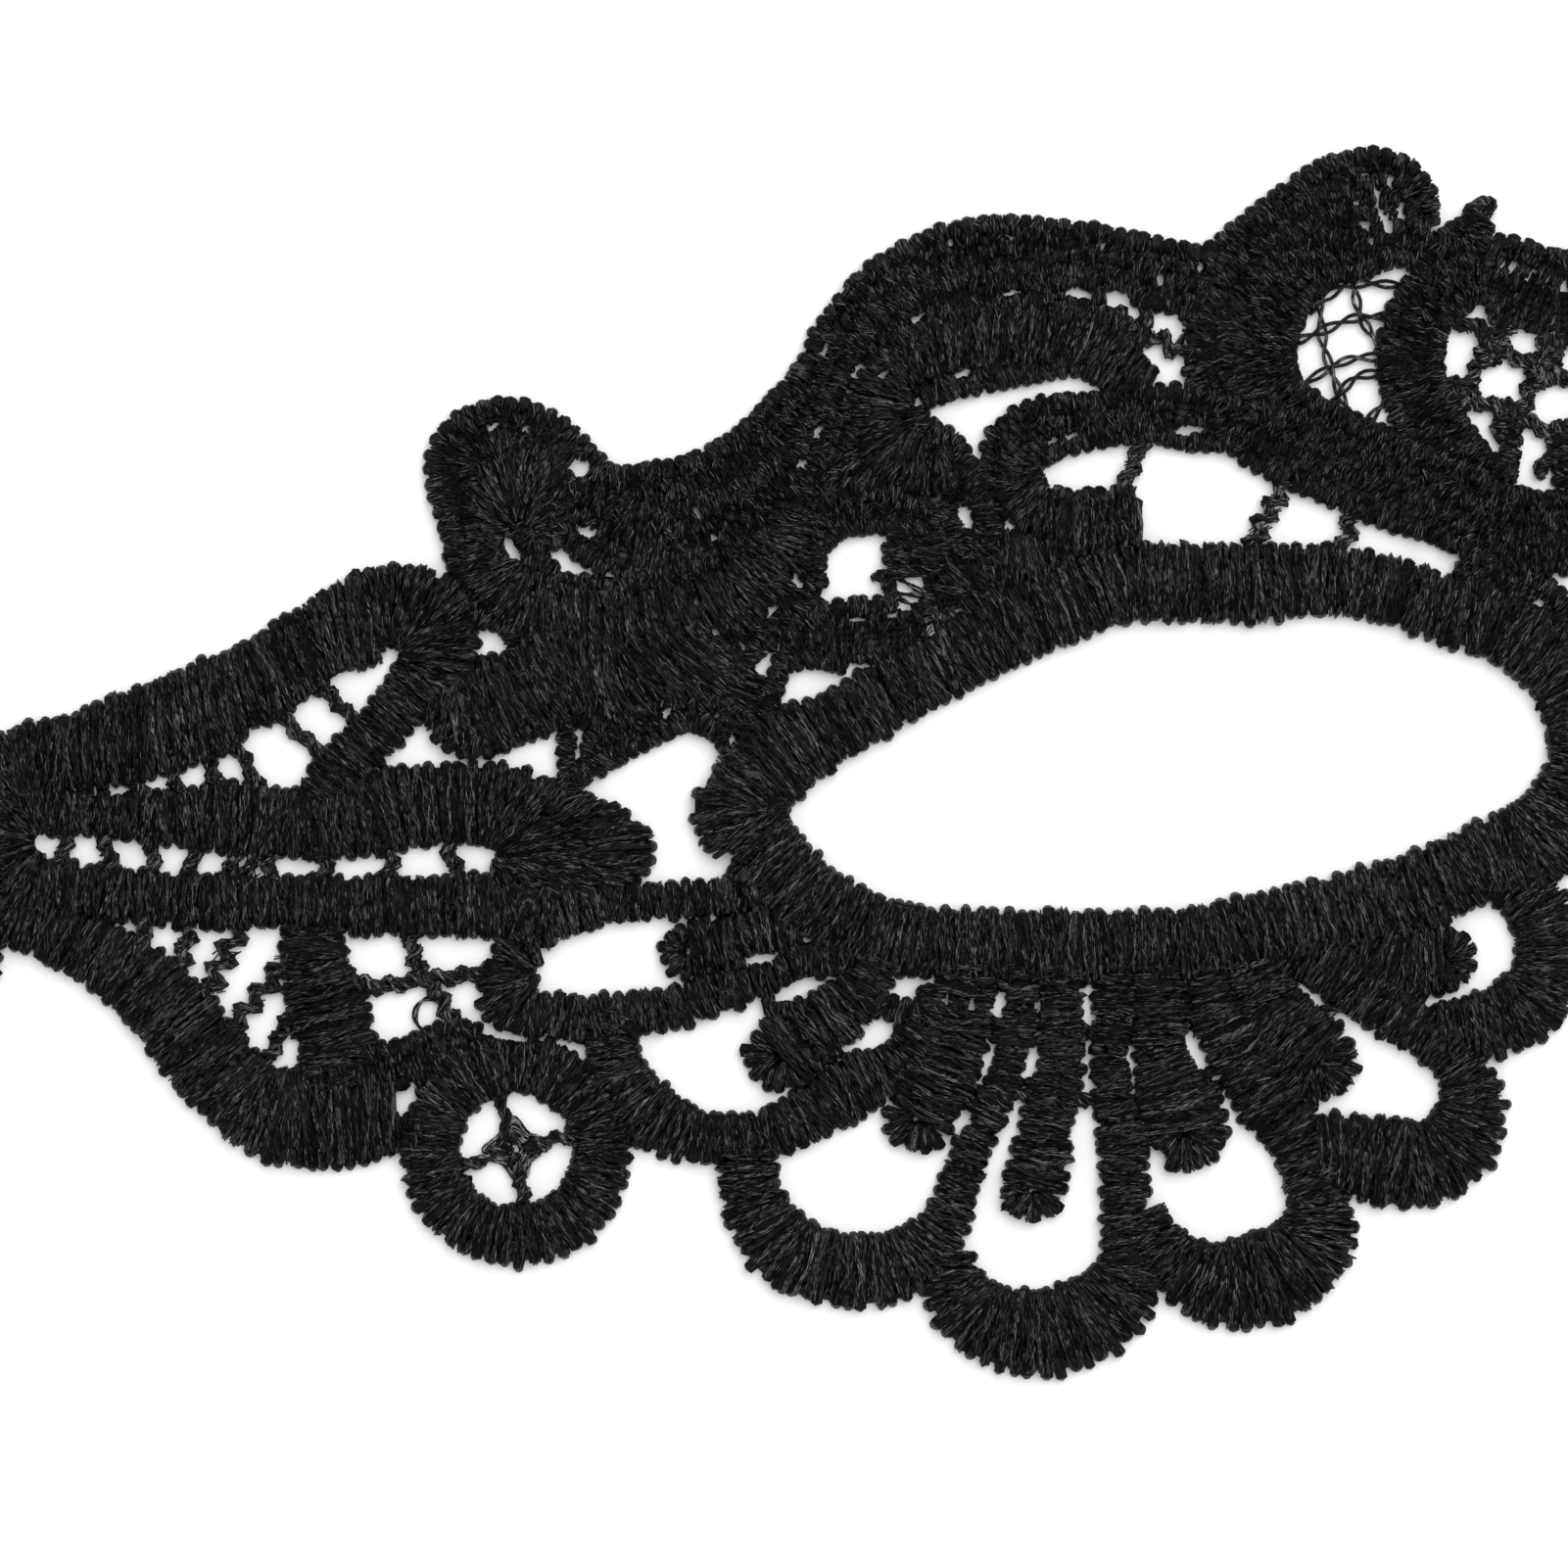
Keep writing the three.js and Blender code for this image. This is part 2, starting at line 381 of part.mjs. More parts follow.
const geometry = new THREE.BufferGeometry();
geometry.setAttribute("position", new THREE.BufferAttribute(new Float32Array(mesh.vertProperties), 3));
geometry.setIndex(new THREE.BufferAttribute(new Uint32Array(mesh.triVerts), 1));
geometry.computeVertexNormals();

const lace = new THREE.Mesh(geometry, new THREE.MeshStandardMaterial({ color: 0x0c0c0d, roughness: 0.62 }));
lace.name = "lace";

const group = new THREE.Group();
group.add(lace);

export default group;
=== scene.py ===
import bpy
import math
import numpy as np
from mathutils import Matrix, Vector


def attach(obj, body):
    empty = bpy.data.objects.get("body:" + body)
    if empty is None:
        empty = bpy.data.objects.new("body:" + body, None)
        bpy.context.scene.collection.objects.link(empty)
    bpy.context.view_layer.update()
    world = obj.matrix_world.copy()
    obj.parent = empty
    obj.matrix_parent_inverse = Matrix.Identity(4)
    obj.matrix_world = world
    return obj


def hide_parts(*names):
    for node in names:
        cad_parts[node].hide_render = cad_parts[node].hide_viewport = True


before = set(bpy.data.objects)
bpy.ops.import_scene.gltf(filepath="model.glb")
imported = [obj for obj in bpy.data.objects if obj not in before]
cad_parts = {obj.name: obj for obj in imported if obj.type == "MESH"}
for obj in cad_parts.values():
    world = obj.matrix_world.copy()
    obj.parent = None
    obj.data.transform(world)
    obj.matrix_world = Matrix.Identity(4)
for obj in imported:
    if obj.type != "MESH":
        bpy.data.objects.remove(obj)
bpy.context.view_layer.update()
rng = np.random.default_rng(7)
mm = 0.001

# The lace is built as it is sewn: strokes of the needle are drawn first, then threads are laid along them.
# The half pattern is drawn in millimetres, tilted as it lies in view, temple left and nose right.
drawing = {"tilt": 16.5, "noseX": 114.8, "noseY": 64.1, "middleY": 1.51, "step": 0.3}
tilt = math.radians(drawing["tilt"])
# Heights the stitches are laid at, and how much a band of this width swells in its middle.
levels = {"satin": 1.08, "rib": 1.02, "low": 0.88, "eye": 1.3, "crown": 0.28, "crownWidth": 5}
coil = {"points": 28, "perTurn": 10, "inner": 0.15, "thread": 0.42, "width": 1}
ringStations = 18
strokes = []  # stations are x, y and width; a fan's rays are turn, inner end and outer end


def satin(piece, stations, **look):
    strokes.append({"kind": "satin", "piece": piece, "stations": stations, "level": levels["satin"], **look})


def rib(piece, stations, **look):
    strokes.append({"kind": "rib", "piece": piece, "stations": stations, "level": levels["rib"], **look})


def fan(piece, pivot, rays):
    strokes.append({"kind": "fan", "piece": piece, "pivot": pivot, "rays": rays, "level": levels["satin"]})


def cord(points, width=1.1, piece="cords", **look):
    strokes.append({"kind": "cord", "piece": piece, "stations": [[x, y, width] for x, y in points], **look})


def knob(piece, x, y, radius):  # a small coil of thread
    turns = [2 * math.pi * i / coil["perTurn"] for i in range(coil["points"])]
    grow = radius - coil["thread"]
    reach = [coil["inner"] + grow * i / (coil["points"] - 1) for i in range(coil["points"])]
    cord([[x + math.cos(t) * r, y + math.sin(t) * r] for t, r in zip(turns, reach)], coil["width"], piece)


def ring(piece, x, y, inner, outer):
    turns = [-2 * math.pi * i / ringStations for i in range(ringStations)]
    middle = (inner + outer) / 2
    stations = [[x + math.cos(t) * middle, y + math.sin(t) * middle, outer - inner] for t in turns]
    satin(piece, stations, closed=True)


# Temple leaf: borders, veins and the column beside the cords.
satin("templeLeaves", [[-2.4, 50.2, 2.2], [-1.3, 52.4, 3.6], [0.4, 54.2, 4.6], [2.4, 55, 5], [5, 55.3, 5.2],
    [8, 56.2, 5.9], [13, 57.8, 6.6], [18, 60.3, 5.9], [22, 63.1, 5.6], [25.4, 64.6, 6.4]], lean=14)
fan("templeLeaves", [26.7, 61.9], [[118, 0.8, 6], [100, 0.6, 6.2], [80, 0.4, 6.4], [60, 0.4, 6.5],
    [45, 0.4, 7], [20, 0.4, 6.2], [0, 0.4, 5.7], [-30, 0.4, 4.8], [-55, 0.6, 4.2]])
satin("templeLeaves", [[28.7, 60.3, 4.2], [27.1, 58.4, 3.5], [25.1, 56.2, 3.6], [23.1, 54.1, 3.6],
    [21.8, 52.2, 3.3]])
fan("templeLeaves", [3.1, 49.3], [[90, 0.6, 3.8], [135, 0.7, 4.8], [180, 0.7, 5.4], [225, 0.7, 5],
    [270, 0.7, 4.8]])
satin("templeLeaves", [[3, 51.4, 3.4], [5.4, 51.4, 3.1], [8, 51.1, 2.8], [11, 50.9, 3.6], [14, 51, 4.4],
    [17, 51, 5], [20, 50.6, 4.5], [24, 50.9, 5.4], [28, 51.8, 5.5], [32, 52, 5.4], [34.2, 51.7, 5.6]])
fan("templeLeaves", [33.5, 48.5], [[95, 0.3, 6.1], [65, 0.3, 6.1], [45, 0.3, 6.7], [28, 0.3, 8.1],
    [15, 0.3, 9.9], [5, 0.3, 11], [-4, 0.3, 10.8], [-10, 0.3, 10], [-30, 0.3, 5.6], [-60, 0.3, 5],
    [-90, 0.3, 5]])
satin("templeLeaves", [[2.8, 46.2, 3.6], [6, 46, 3.6], [10, 45.6, 3.7], [15, 45.3, 3.5], [20, 45.2, 3.5],
    [25, 45, 4.1], [30, 45, 4.1], [34.6, 45, 4.6], [37, 44.3, 4.9], [39.4, 44.8, 3.7], [41.2, 45.2, 2.7],
    [45, 45.3, 2.3], [50.5, 45.8, 2.6], [52.6, 45.8, 2.8]])
satin("templeLeaves", [[-2.2, 47.4, 2.2], [-1.1, 45.7, 3.4], [0.4, 44.5, 3.8], [2, 43.9, 3.8],
    [5, 42.7, 4.2], [8.9, 40.5, 5], [11.5, 37.9, 5.4], [14.3, 34.5, 5.9], [16.9, 31.6, 5.6],
    [19.5, 30.7, 6.6], [22.5, 30.8, 7.1], [26.9, 31, 5.9]])
satin("templeLeaves", [[21.3, 43.8, 4.4], [21.4, 41.5, 4.4], [21.9, 39.5, 5.2], [22.5, 37.2, 5.6],
    [23, 35, 5.4], [23.2, 32.8, 4.6]], level=levels["low"])
rib("templeLeaves", [[26.4, 29.6, 2.6], [28.6, 29.6, 2.6]])
rib("templeLeaves", [[25.2, 33.8, 3.6], [28.3, 34.6, 3.3], [31, 35.6, 3.5], [33.2, 35.8, 2.2],
    [35.4, 35.2, 2.2]])

# Cords that hold the leaf's cells open.
for x, y, toX, toY, width in [[9.9, 52.2, 9, 54.2, 1.3], [12.5, 52.4, 11.4, 54.8, 1.2],
        [15.3, 52.8, 13.9, 55.9, 1.3], [18, 52.8, 16, 56.2, 1.1], [4.4, 47.6, 4.4, 50.4, 1.5],
        [7.4, 47.4, 7.4, 50, 1.5], [10.45, 47, 10.45, 49.6, 1.3], [13.2, 46.8, 13.2, 49.2, 1.6],
        [15.9, 46.8, 16, 49, 1.4], [17.2, 46.8, 17.2, 49, 1.7], [18.4, 46.6, 18.5, 48.8, 1.5],
        [22.1, 46.4, 22, 48.8, 2], [26.6, 46.2, 26.7, 48.8, 1.7], [30.6, 49.6, 31.2, 46.4, 1.5],
        [10, 44.4, 9.8, 42, 1.4], [13, 44, 12.5, 41, 1.8], [16.4, 44, 14.3, 39, 2.2],
        [19.6, 41.6, 16.1, 37, 1.9], [20, 37.8, 17.9, 34.2, 1.4]]:
    cord([[x, y], [toX, toY]], width)
cord([[17.9, 58.6], [19.4, 57.8], [20.6, 56.6], [22, 55.5]], 1.2)
cord([[21, 60.4], [22.4, 59.5], [23.4, 58.4], [24.9, 57.4]], 1.2)
cord([[28.1, 44], [28.2, 42], [28.7, 40.6], [29.6, 39.3], [30.4, 38], [31.6, 36.6]], 1.5)
cord([[23.6, 40.2], [25.2, 39.6], [27, 39.7], [29, 40.1], [31.2, 40.2], [33.6, 40.6]], 1.3)

# Temple ring with its web, and the eyelet for the tie.
ring("templeRings", 35.15, 28.45, 3.95, 7.85)
ring("templeRings", -3.6, 42.1, 1.5, 3.8)
cord([[34, 32.6], [34.2, 31.4], [34.5, 30.2], [34.8, 29.2]], 0.9)
cord([[39.6, 29.2], [38, 29.2], [37, 28.8], [36, 28.6]], 1)
cord([[31, 27], [32.4, 27.6], [33.6, 28.1], [34.6, 28.5]], 1)
cord([[35.8, 24], [35.7, 25.4], [35.4, 26.6], [35.2, 27.8]], 1.1)
# The web's share of painted highlight, above one, paints most of its fine thread in the light glint colour: a
# painted highlight that greys the web.
web = {"x": 35.1, "y": 28.55, "inner": 0.25, "outer": 1.9, "corners": 4, "corner": 0.26, "first": 8,
       "rounds": 14, "perRound": 16, "width": 0.1, "radius": 0.06, "tone": 2.2}
wound = []
for i in range(web["rounds"] * web["perRound"]):  # the thread goes round over the four cords
    angle = 2 * math.pi * i / web["perRound"]
    reach = web["inner"] + (web["outer"] - web["inner"]) * i / (web["rounds"] * web["perRound"])
    swell = math.cos(web["corners"] * (angle - math.radians(web["first"])))
    reach = reach * (1 + web["corner"] * reach / web["outer"] * swell)
    wound.append([web["x"] + math.cos(angle) * reach, web["y"] + math.sin(angle) * reach])
cord(wound, web["width"], net=True, thin=web["radius"], tone=web["tone"])
cord([[30.2, 38.4], [29.2, 38.8], [28.4, 38.2], [28.3, 37.2], [29, 36.5], [30, 36.6], [30.5, 37.4],
    [30.2, 38.6]], 0.3, net=True)

# Scallops below the eye, each with a finger of close stitches inside it.
fan("scallops", [36.9, 40.4], [[100, 0.5, 3.4], [135, 0.5, 3.9], [165, 0.5, 3.8], [190, 0.4, 4.3],
    [215, 0.4, 4.9], [240, 0.6, 4.8], [262, 1.3, 4.3]])
satin("scallops", [[36.6, 37.7, 3], [40, 37.3, 3.1], [43, 37.7, 3], [46, 38.1, 2.8], [49, 39.2, 2.7],
    [52, 40.1, 2.5], [55, 41.2, 2.6], [58, 41.6, 2.4]])
satin("fingers", [[47, 42, 3.9], [49.5, 42.4, 3.9], [52, 43.2, 3.4], [55.4, 43.6, 3.4]], rounded=True)
satin("scallops", [[42, 38, 3.4], [41.6, 35.6, 3.4], [42.2, 33, 4.2], [44.3, 30.7, 4.5], [47, 29.4, 3.5],
    [49.5, 29.1, 3.2], [52, 29.5, 3.1], [54.6, 30.6, 3.8], [57.4, 32.4, 4.5], [60, 33.8, 3.7],
    [62.2, 35.6, 3.6], [64, 38.6, 3]])
satin("fingers", [[53.3, 34.9, 5.1], [54.8, 36.1, 5.2], [57.1, 37.9, 4.2], [58.8, 39.6, 3.3],
    [59.8, 41.6, 3.4]], rounded=True)
satin("scallops", [[51, 28.6, 3.8], [51, 26.5, 4.1], [51.8, 23.9, 4.4], [53.6, 21.5, 5], [56.5, 20.4, 4.9],
    [59.5, 20.2, 4.9], [62.2, 21, 4.6], [64.2, 23.2, 3.5], [65.3, 26, 2.6], [66.1, 28.6, 2.6],
    [67.2, 31, 2.7], [68.5, 33.6, 2.3], [69.1, 37, 2.9], [69.3, 41, 2.8]])
satin("fingers", [[62.5, 30.6, 4.6], [63.5, 32.4, 5.1], [64.6, 34.8, 4.9], [65.2, 37, 4.6], [66, 41, 3.9]],
    rounded=True)
satin("scallops", [[64.7, 21.4, 2.8], [65.1, 19, 4.2], [66.6, 17, 5], [69.1, 16.1, 5.5], [72, 16.1, 5.7],
    [74.8, 17.4, 5.6], [76.8, 20, 4.4], [76.6, 23, 3.4], [76.4, 26, 3], [76.4, 29, 3.2], [75.8, 32, 2.8],
    [75.5, 34.5, 2.2], [75.7, 37, 2.8], [76, 41, 3]], loose=-0.18)
satin("fingers", [[70.3, 25.8, 4.5], [70.8, 28, 3.9], [71.2, 30.5, 3.5], [72, 33.4, 3.4], [72.2, 36, 3.2],
    [72, 41, 3.2]], rounded=True)
satin("scallops", [[78, 24.4, 2.6], [79.2, 21.8, 3.4], [81.6, 19.8, 4.9], [84, 19.3, 6], [87, 20, 6.2],
    [89.4, 22, 5.4], [89.7, 25, 4.4], [88.9, 27.4, 3.6], [87.9, 29.6, 4], [86.3, 32, 4.6],
    [84.9, 34.5, 4.6], [83.5, 37.4, 5], [82.8, 41, 4.4]], loose=-0.18)
satin("fingers", [[80.6, 29.9, 5.9], [80, 32.6, 5.6], [79.1, 35, 4], [78.9, 37.5, 4.2], [78.9, 41, 4]],
    rounded=True)
satin("scallops", [[89.6, 28.3, 4.4], [91.2, 28.3, 5.1], [93.5, 27.8, 5.9], [96.3, 27.3, 5.7],
    [98.9, 28.5, 5.3], [100.1, 30.9, 4.5], [99.8, 33.2, 3.8], [98.4, 35.1, 3], [96.2, 36.9, 3.6],
    [94.2, 38.4, 4.2], [92.2, 40, 4.4], [90.2, 41.4, 4.6], [88, 42.4, 4.4]], loose=-0.18)
satin("fingers", [[89.5, 34.5, 5.6], [88, 36, 5.6], [86.4, 38, 4.8], [85.2, 41, 5]], rounded=True)
satin("scallops", [[97.8, 36.6, 4], [100.2, 36.8, 4.3], [102.5, 37.4, 4.6], [104.6, 39, 4.7],
    [105.2, 42, 3.9], [104.7, 44.7, 4.2], [103.2, 46.4, 4.2], [101.4, 48, 3.4]], loose=-0.18)
satin("fingers", [[98.1, 41.4, 4.6], [96, 41.4, 5.2], [92.6, 42.4, 6.4]], rounded=True)
rib("fingers", [[51.9, 38.1, 1.5], [52.8, 38.3, 1.7], [54, 38.4, 1.4]])
rib("fingers", [[59.4, 38.6, 2], [61, 37.9, 1.8], [62.8, 37.6, 1.8], [63.2, 39.6, 1.6]])
cord([[72.6, 36.2], [75.2, 36.2]], 1.6)
cord([[72.6, 32], [75.4, 32]], 1.3)
cord([[69, 32.2], [70.8, 32.2]])
cord([[90, 37.6], [91.6, 38.8]], 1.4)

# Eye ring.
satin("eyeRings", [[50.9, 50, 5.8], [50.4, 52.2, 6.6], [52.9, 55, 5.8], [56.5, 57.2, 4.9],
    [62.1, 60.3, 4.6], [68.1, 63.6, 4.9], [73.1, 65.7, 5.2], [77, 67, 5.2], [85, 66.9, 5.2],
    [89.6, 67.2, 4.6], [94, 66.6, 4.4], [98.9, 65, 4.5], [102.4, 63.9, 4.8], [106.3, 60.6, 4.7],
    [107.9, 56.8, 4.7], [107, 52.8, 4.9], [104.6, 49.4, 5.9], [100.5, 47.9, 5.2], [96.7, 46.1, 5.4],
    [92.5, 45, 5], [88.6, 43.9, 5], [85, 43.2, 5], [81.6, 42.4, 4.9], [76.5, 42.3, 4.8], [68.1, 42.3, 4.8],
    [63, 42.5, 4.8], [59.7, 43.2, 4.8], [55.8, 45.1, 5], [53, 47.4, 5.2]], closed=True, level=levels["eye"])

# Temple scroll and the bands that sweep over the eye.
rib("templeScroll", [[32.5, 66.6, 2], [31.75, 69.5, 2.6], [30.9, 73.4, 3.5], [31.2, 76.1, 3.8],
    [33.7, 77.6, 3.8], [36.8, 77.1, 3.6], [39, 75.3, 3.6], [41, 73.5, 3]])
fan("templeScroll", [35.3, 70.4], [[-10, 0.6, 3.2], [20, 0.6, 4.2], [45, 0.5, 4.8], [70, 0.5, 5.4],
    [90, 0.5, 5.8], [120, 0.5, 5.4], [150, 0.5, 4.2], [180, 0.5, 3.6], [215, 0.5, 3.2], [250, 0.5, 2.6]])
fan("templeScroll", [37.2, 69.4], [[165, 2.2, 6.2], [185, 2.2, 6.8], [205, 2, 6.4], [225, 1.8, 6],
    [250, 1.8, 6.2], [272, 1.8, 6.8]])
satin("templeScroll", [[37.4, 64.9, 4.4], [42, 64.4, 4.6], [46, 64.7, 4.4], [50, 66.1, 4.4],
    [53.2, 68.8, 4.4], [54.8, 72, 4.4]], lean=-8)
rib("templeScroll", [[35.2, 71, 1.6], [35.9, 69.6, 1.9], [37.2, 69.7, 1.5], [39, 70, 1.5]])
rib("templeScroll", [[35.6, 68.9, 1.4], [36.8, 68.4, 1.6], [38, 67.8, 1.2]])
rib("templeScroll", [[34.4, 68, 1.4], [36, 67.2, 1.5], [38.6, 66.8, 1.6], [42, 66.9, 1.6], [45, 67.3, 1.6],
    [48, 68, 1.5]])
rib("templeScroll", [[36.2, 69.8, 1.4], [39, 71.6, 4.6], [42.6, 69.8, 5.6], [47, 69.8, 5], [51, 71.6, 4.4],
    [54.8, 74.2, 5.8], [56.4, 77.6, 4.4], [57.4, 80, 4]])
rib("browEdge", [[40.4, 73.2, 3.4], [44, 73, 4], [47.5, 73.8, 4], [50.4, 75.2, 4.1], [53, 77.2, 4.4],
    [55.4, 80.2, 3.9], [57.2, 83.5, 3.9], [59, 86, 3.9], [61.8, 88, 4.2], [65.4, 89.4, 4.3],
    [69, 89.8, 4.3], [74, 89.3, 4.2], [78.5, 88.4, 4.3], [82.4, 87.6, 4]])
rib("browEdge", [[58.6, 82.4, 3.6], [61.5, 85.2, 4], [66, 86.6, 3.4], [71, 87, 2.8], [74.4, 87, 2.4],
    [77.4, 87, 2.4], [80.4, 86.4, 2.9], [82, 86, 2.8]])
rib("browScroll", [[60.6, 79.8, 1.6], [61.4, 82, 1.8], [63.4, 84.4, 1.8], [66.4, 85.6, 1.7],
    [70, 85.7, 1.8], [73.2, 85.2, 2], [76, 84.2, 2.2], [78, 83.6, 1.6]])
fan("browScroll", [63.2, 78.6], [[112, 1.3, 4.8], [140, 1.2, 5.4], [165, 1, 5.6], [185, 1, 5.4],
    [205, 1, 5.6], [225, 1, 5.8], [250, 1.1, 5.6], [272, 1.3, 5.8], [296, 1.8, 6]])
rib("browScroll", [[56.4, 75.2, 2.8], [58.8, 73, 3.4], [61.8, 71.6, 2.6], [64.6, 72, 2.4]])
satin("browScroll", [[61.6, 82.2, 4], [64, 83.2, 4.4], [67.4, 83.8, 4.2], [70.5, 83.8, 4], [73.6, 83.3, 4],
    [76.2, 82, 4.2], [78.6, 80.8, 3.1]], lean=8)
rib("browScroll", [[62.6, 79.5, 1.7], [64.6, 80.3, 1.8], [67.2, 81, 2], [70.4, 81.6, 1.9],
    [73.6, 81.9, 1.8], [75.8, 81, 2], [77.4, 80.2, 2]])
rib("browScroll", [[62.4, 78.8, 1.3], [63.1, 77.3, 1.9], [64.6, 76.3, 2.1], [65.8, 74.6, 1.9],
    [66.8, 73, 2], [67.2, 70.4, 2.2]])
rib("browScroll", [[89.6, 76.6, 2.6], [87, 77.4, 3.2], [82, 78, 4.2], [78, 78.5, 4], [74, 77.9, 3.9],
    [71, 77.4, 4.6], [68.7, 75.7, 4.2], [68.2, 73.6, 3]])
fan("browScroll", [71.9, 74.7], [[150, 1, 4], [175, 0.9, 4.2], [200, 0.9, 4.6], [225, 0.9, 4.8],
    [250, 1.3, 4.9], [268, 1.6, 4.9]])
satin("browScroll", [[71.6, 71, 3.9], [73.6, 70.7, 4.2], [76, 70.9, 4], [77.7, 70.9, 3]])
rib("browScroll", [[71.4, 73.1, 1.2], [73, 72.5, 1.3], [75.2, 72.8, 1.3], [77.2, 72.8, 1.6]])
rib("underBrow", [[61.2, 70.8, 1.8], [61, 68.6, 1.8], [61.3, 67.2, 1.4]])
rib("underBrow", [[64, 73, 4], [64.3, 70.8, 7], [64.6, 68, 6.4], [65.2, 65.2, 5.4]], lean=35)
satin("underBrow", [[65, 66, 3.8], [67.4, 67.7, 5.8], [70, 68, 4.8], [73, 68.6, 3]], level=levels["low"])
satin("underBrow", [[29.4, 59.2, 3], [31, 58.4, 4.9], [33, 58.7, 6.6], [35.2, 59.2, 6.2], [37.4, 59.8, 5.6],
    [39.6, 60.6, 5.2]], lean=-12)
rib("underBrow", [[29.8, 57.2, 1.8], [31.6, 56, 1.9], [34, 56.1, 1.4], [36.6, 57.5, 1.4],
    [38.6, 58.2, 1.6]])
rib("underBrow", [[31.4, 66.2, 2.2], [33, 65.2, 2.4], [34.9, 64, 1.8], [35.6, 62, 1.6], [35.4, 60.6, 2]])
satin("underBrow", [[35.4, 61.8, 3.6], [38.6, 61.4, 6], [41.4, 60.4, 5.8], [44.6, 60.7, 5.6],
    [47.6, 61.6, 5.4], [50.4, 62.8, 5.2]], lean=-30)
rib("underBrow", [[39.4, 53.9, 1.4], [40.2, 54.3, 1.7], [41.2, 55.8, 3.2], [43.4, 57, 3.2],
    [46.8, 58.6, 3.4], [49.4, 57.6, 3.2], [50.8, 55.6, 3.2]])
satin("underBrow", [[47.6, 57.4, 2], [49.2, 58.6, 4], [50.2, 60.4, 4], [50.6, 62.4, 3.4]],
    level=levels["low"])
rib("underBrow", [[37.8, 58.2, 2.2], [41, 58.2, 2.6]])
rib("underBrow", [[38.7, 57.8, 1.4], [38.6, 55.2, 1.1], [38.9, 52.6, 1.8]])
rib("underBrow", [[51.4, 57.2, 3.2], [52.4, 59.2, 1.7], [52.9, 60.8, 1.4], [53.8, 62, 2], [55.8, 63.2, 4.5],
    [59, 63.5, 5], [63, 64, 4.4]])
rib("underBrow", [[50.6, 62.8, 2.6], [52.3, 64.6, 4.2], [54.2, 66.9, 4.1], [54.4, 69.4, 3.5],
    [57, 71.8, 3.6], [60.4, 72.4, 4]])
cord([[62.9, 64.5], [64.1, 64.3], [65.9, 64.8]], 2.2)
cord([[59.9, 67.5], [60.7, 66.7], [60.4, 65.9]], 1.5)
for x, y, toX, toY in [[61.4, 66.2, 63, 66.1], [61.2, 65.9, 62.7, 65.2], [61.5, 67.1, 63, 66.2]]:
    cord([[x, y], [toX, toY]], 0.3, net=True)
cord([[77.9, 77.2], [77.5, 75.8], [76.8, 74.6], [76.2, 72.8]], 1.4)
cord([[87.4, 73.6], [86.5, 72.2], [85.9, 71.2], [85.2, 69.4]], 1.9)
cord([[91.9, 72.4], [91.8, 70.8], [91.2, 69.2]], 1.6)
cord([[76, 85], [78.2, 83.9], [79.8, 83.1], [82, 82.8]], 1.9)
cord([[77.7, 86.9], [78, 84.6]], 1.3)

# Right leaf, the net beside it and the crescent that carries both.
rib("noseLeaves", [[96.8, 91.2, 2.2], [96.3, 93.4, 2.8], [94.7, 94.9, 2.8], [91.7, 94.9, 2.8],
    [88.8, 93.5, 2.9], [86.2, 91.4, 3], [83.5, 89.1, 3.2], [81.4, 87.6, 3.3]])
rib("noseLeaves", [[97, 90, 2.4], [95.4, 90.5, 4.3], [93, 91, 6.8], [90.2, 90.7, 6.8], [87, 88.6, 6.8],
    [84.8, 85.2, 7.8], [84.3, 81.6, 7.6], [86.4, 78, 7], [90, 76, 6.5], [94.4, 74.05, 6.5],
    [98.8, 72.2, 5.8], [103, 70.5, 5.9], [107.6, 70.5, 5.6], [113.4, 71.8, 5]])
rib("noseLeaves", [[94.8, 89.6, 1.8], [97, 89.3, 3], [98.6, 88.4, 3.4]])
rib("noseLeaves", [[99.4, 68.6, 2], [101.4, 67.3, 3.2], [104, 66.3, 3.4], [106, 65, 2.6],
    [107.6, 63.4, 2.4]])
net = {"width": 0.62, "threads": [
    [[88, 83.3], [90, 84.1], [91.5, 84.8], [92.3, 85], [94.2, 85.1]],
    [[89, 80.7], [90.2, 81.4], [92, 82.2], [93.8, 82.3]],
    [[90.8, 79.5], [92, 80.8], [92.8, 81.1], [94.2, 81.2]],
    [[92.8, 77.5], [94, 79], [95.1, 79.2]],
    [[89.8, 86.4], [89.95, 84.5], [90.2, 82.6], [91.1, 80], [91.6, 79]],
    [[92.1, 87.9], [92.3, 86], [92.8, 84.6], [93.8, 83.2]],
    [[89.2, 85.6], [91, 86.9], [92.2, 87.3], [95.4, 87.2]]]}
for points in net["threads"]:
    cord(points, net["width"], net=True)

# Heart on the nose line, its picot and its lattice.
rib("hearts", [[109.1, 86.3, 6.2], [105.3, 86.35, 6.7], [101.9, 87.8, 5.8], [99.6, 88, 5.2],
    [97.3, 86.4, 4.5], [96, 83.4, 4.5], [96.2, 80.4, 4.7], [97.4, 77.6, 4.8], [99.5, 74.8, 4.5],
    [102.4, 72.8, 4]])
rib("hearts", [[98.6, 89.3, 3.6], [100, 90.5, 3], [100.8, 91.8, 1.9]])
knob("hearts", 100.8, 92.3, 0.85)
lattice = {"nodeX": 4.46, "nodeY": 19.47, "slope": 0.82, "row": 4.86, "column": 2.95, "knot": 1.9,
           "knotWidth": 1}


def inLattice(t, row, rise):  # t runs from a column of knots towards the nose line
    x = t - lattice["nodeX"]
    y = lattice["nodeY"] - row * lattice["row"] + rise * lattice["slope"] * t
    return [drawing["noseX"] + math.cos(tilt) * x - math.sin(tilt) * y,
            drawing["noseY"] + math.sin(tilt) * x + math.cos(tilt) * y]


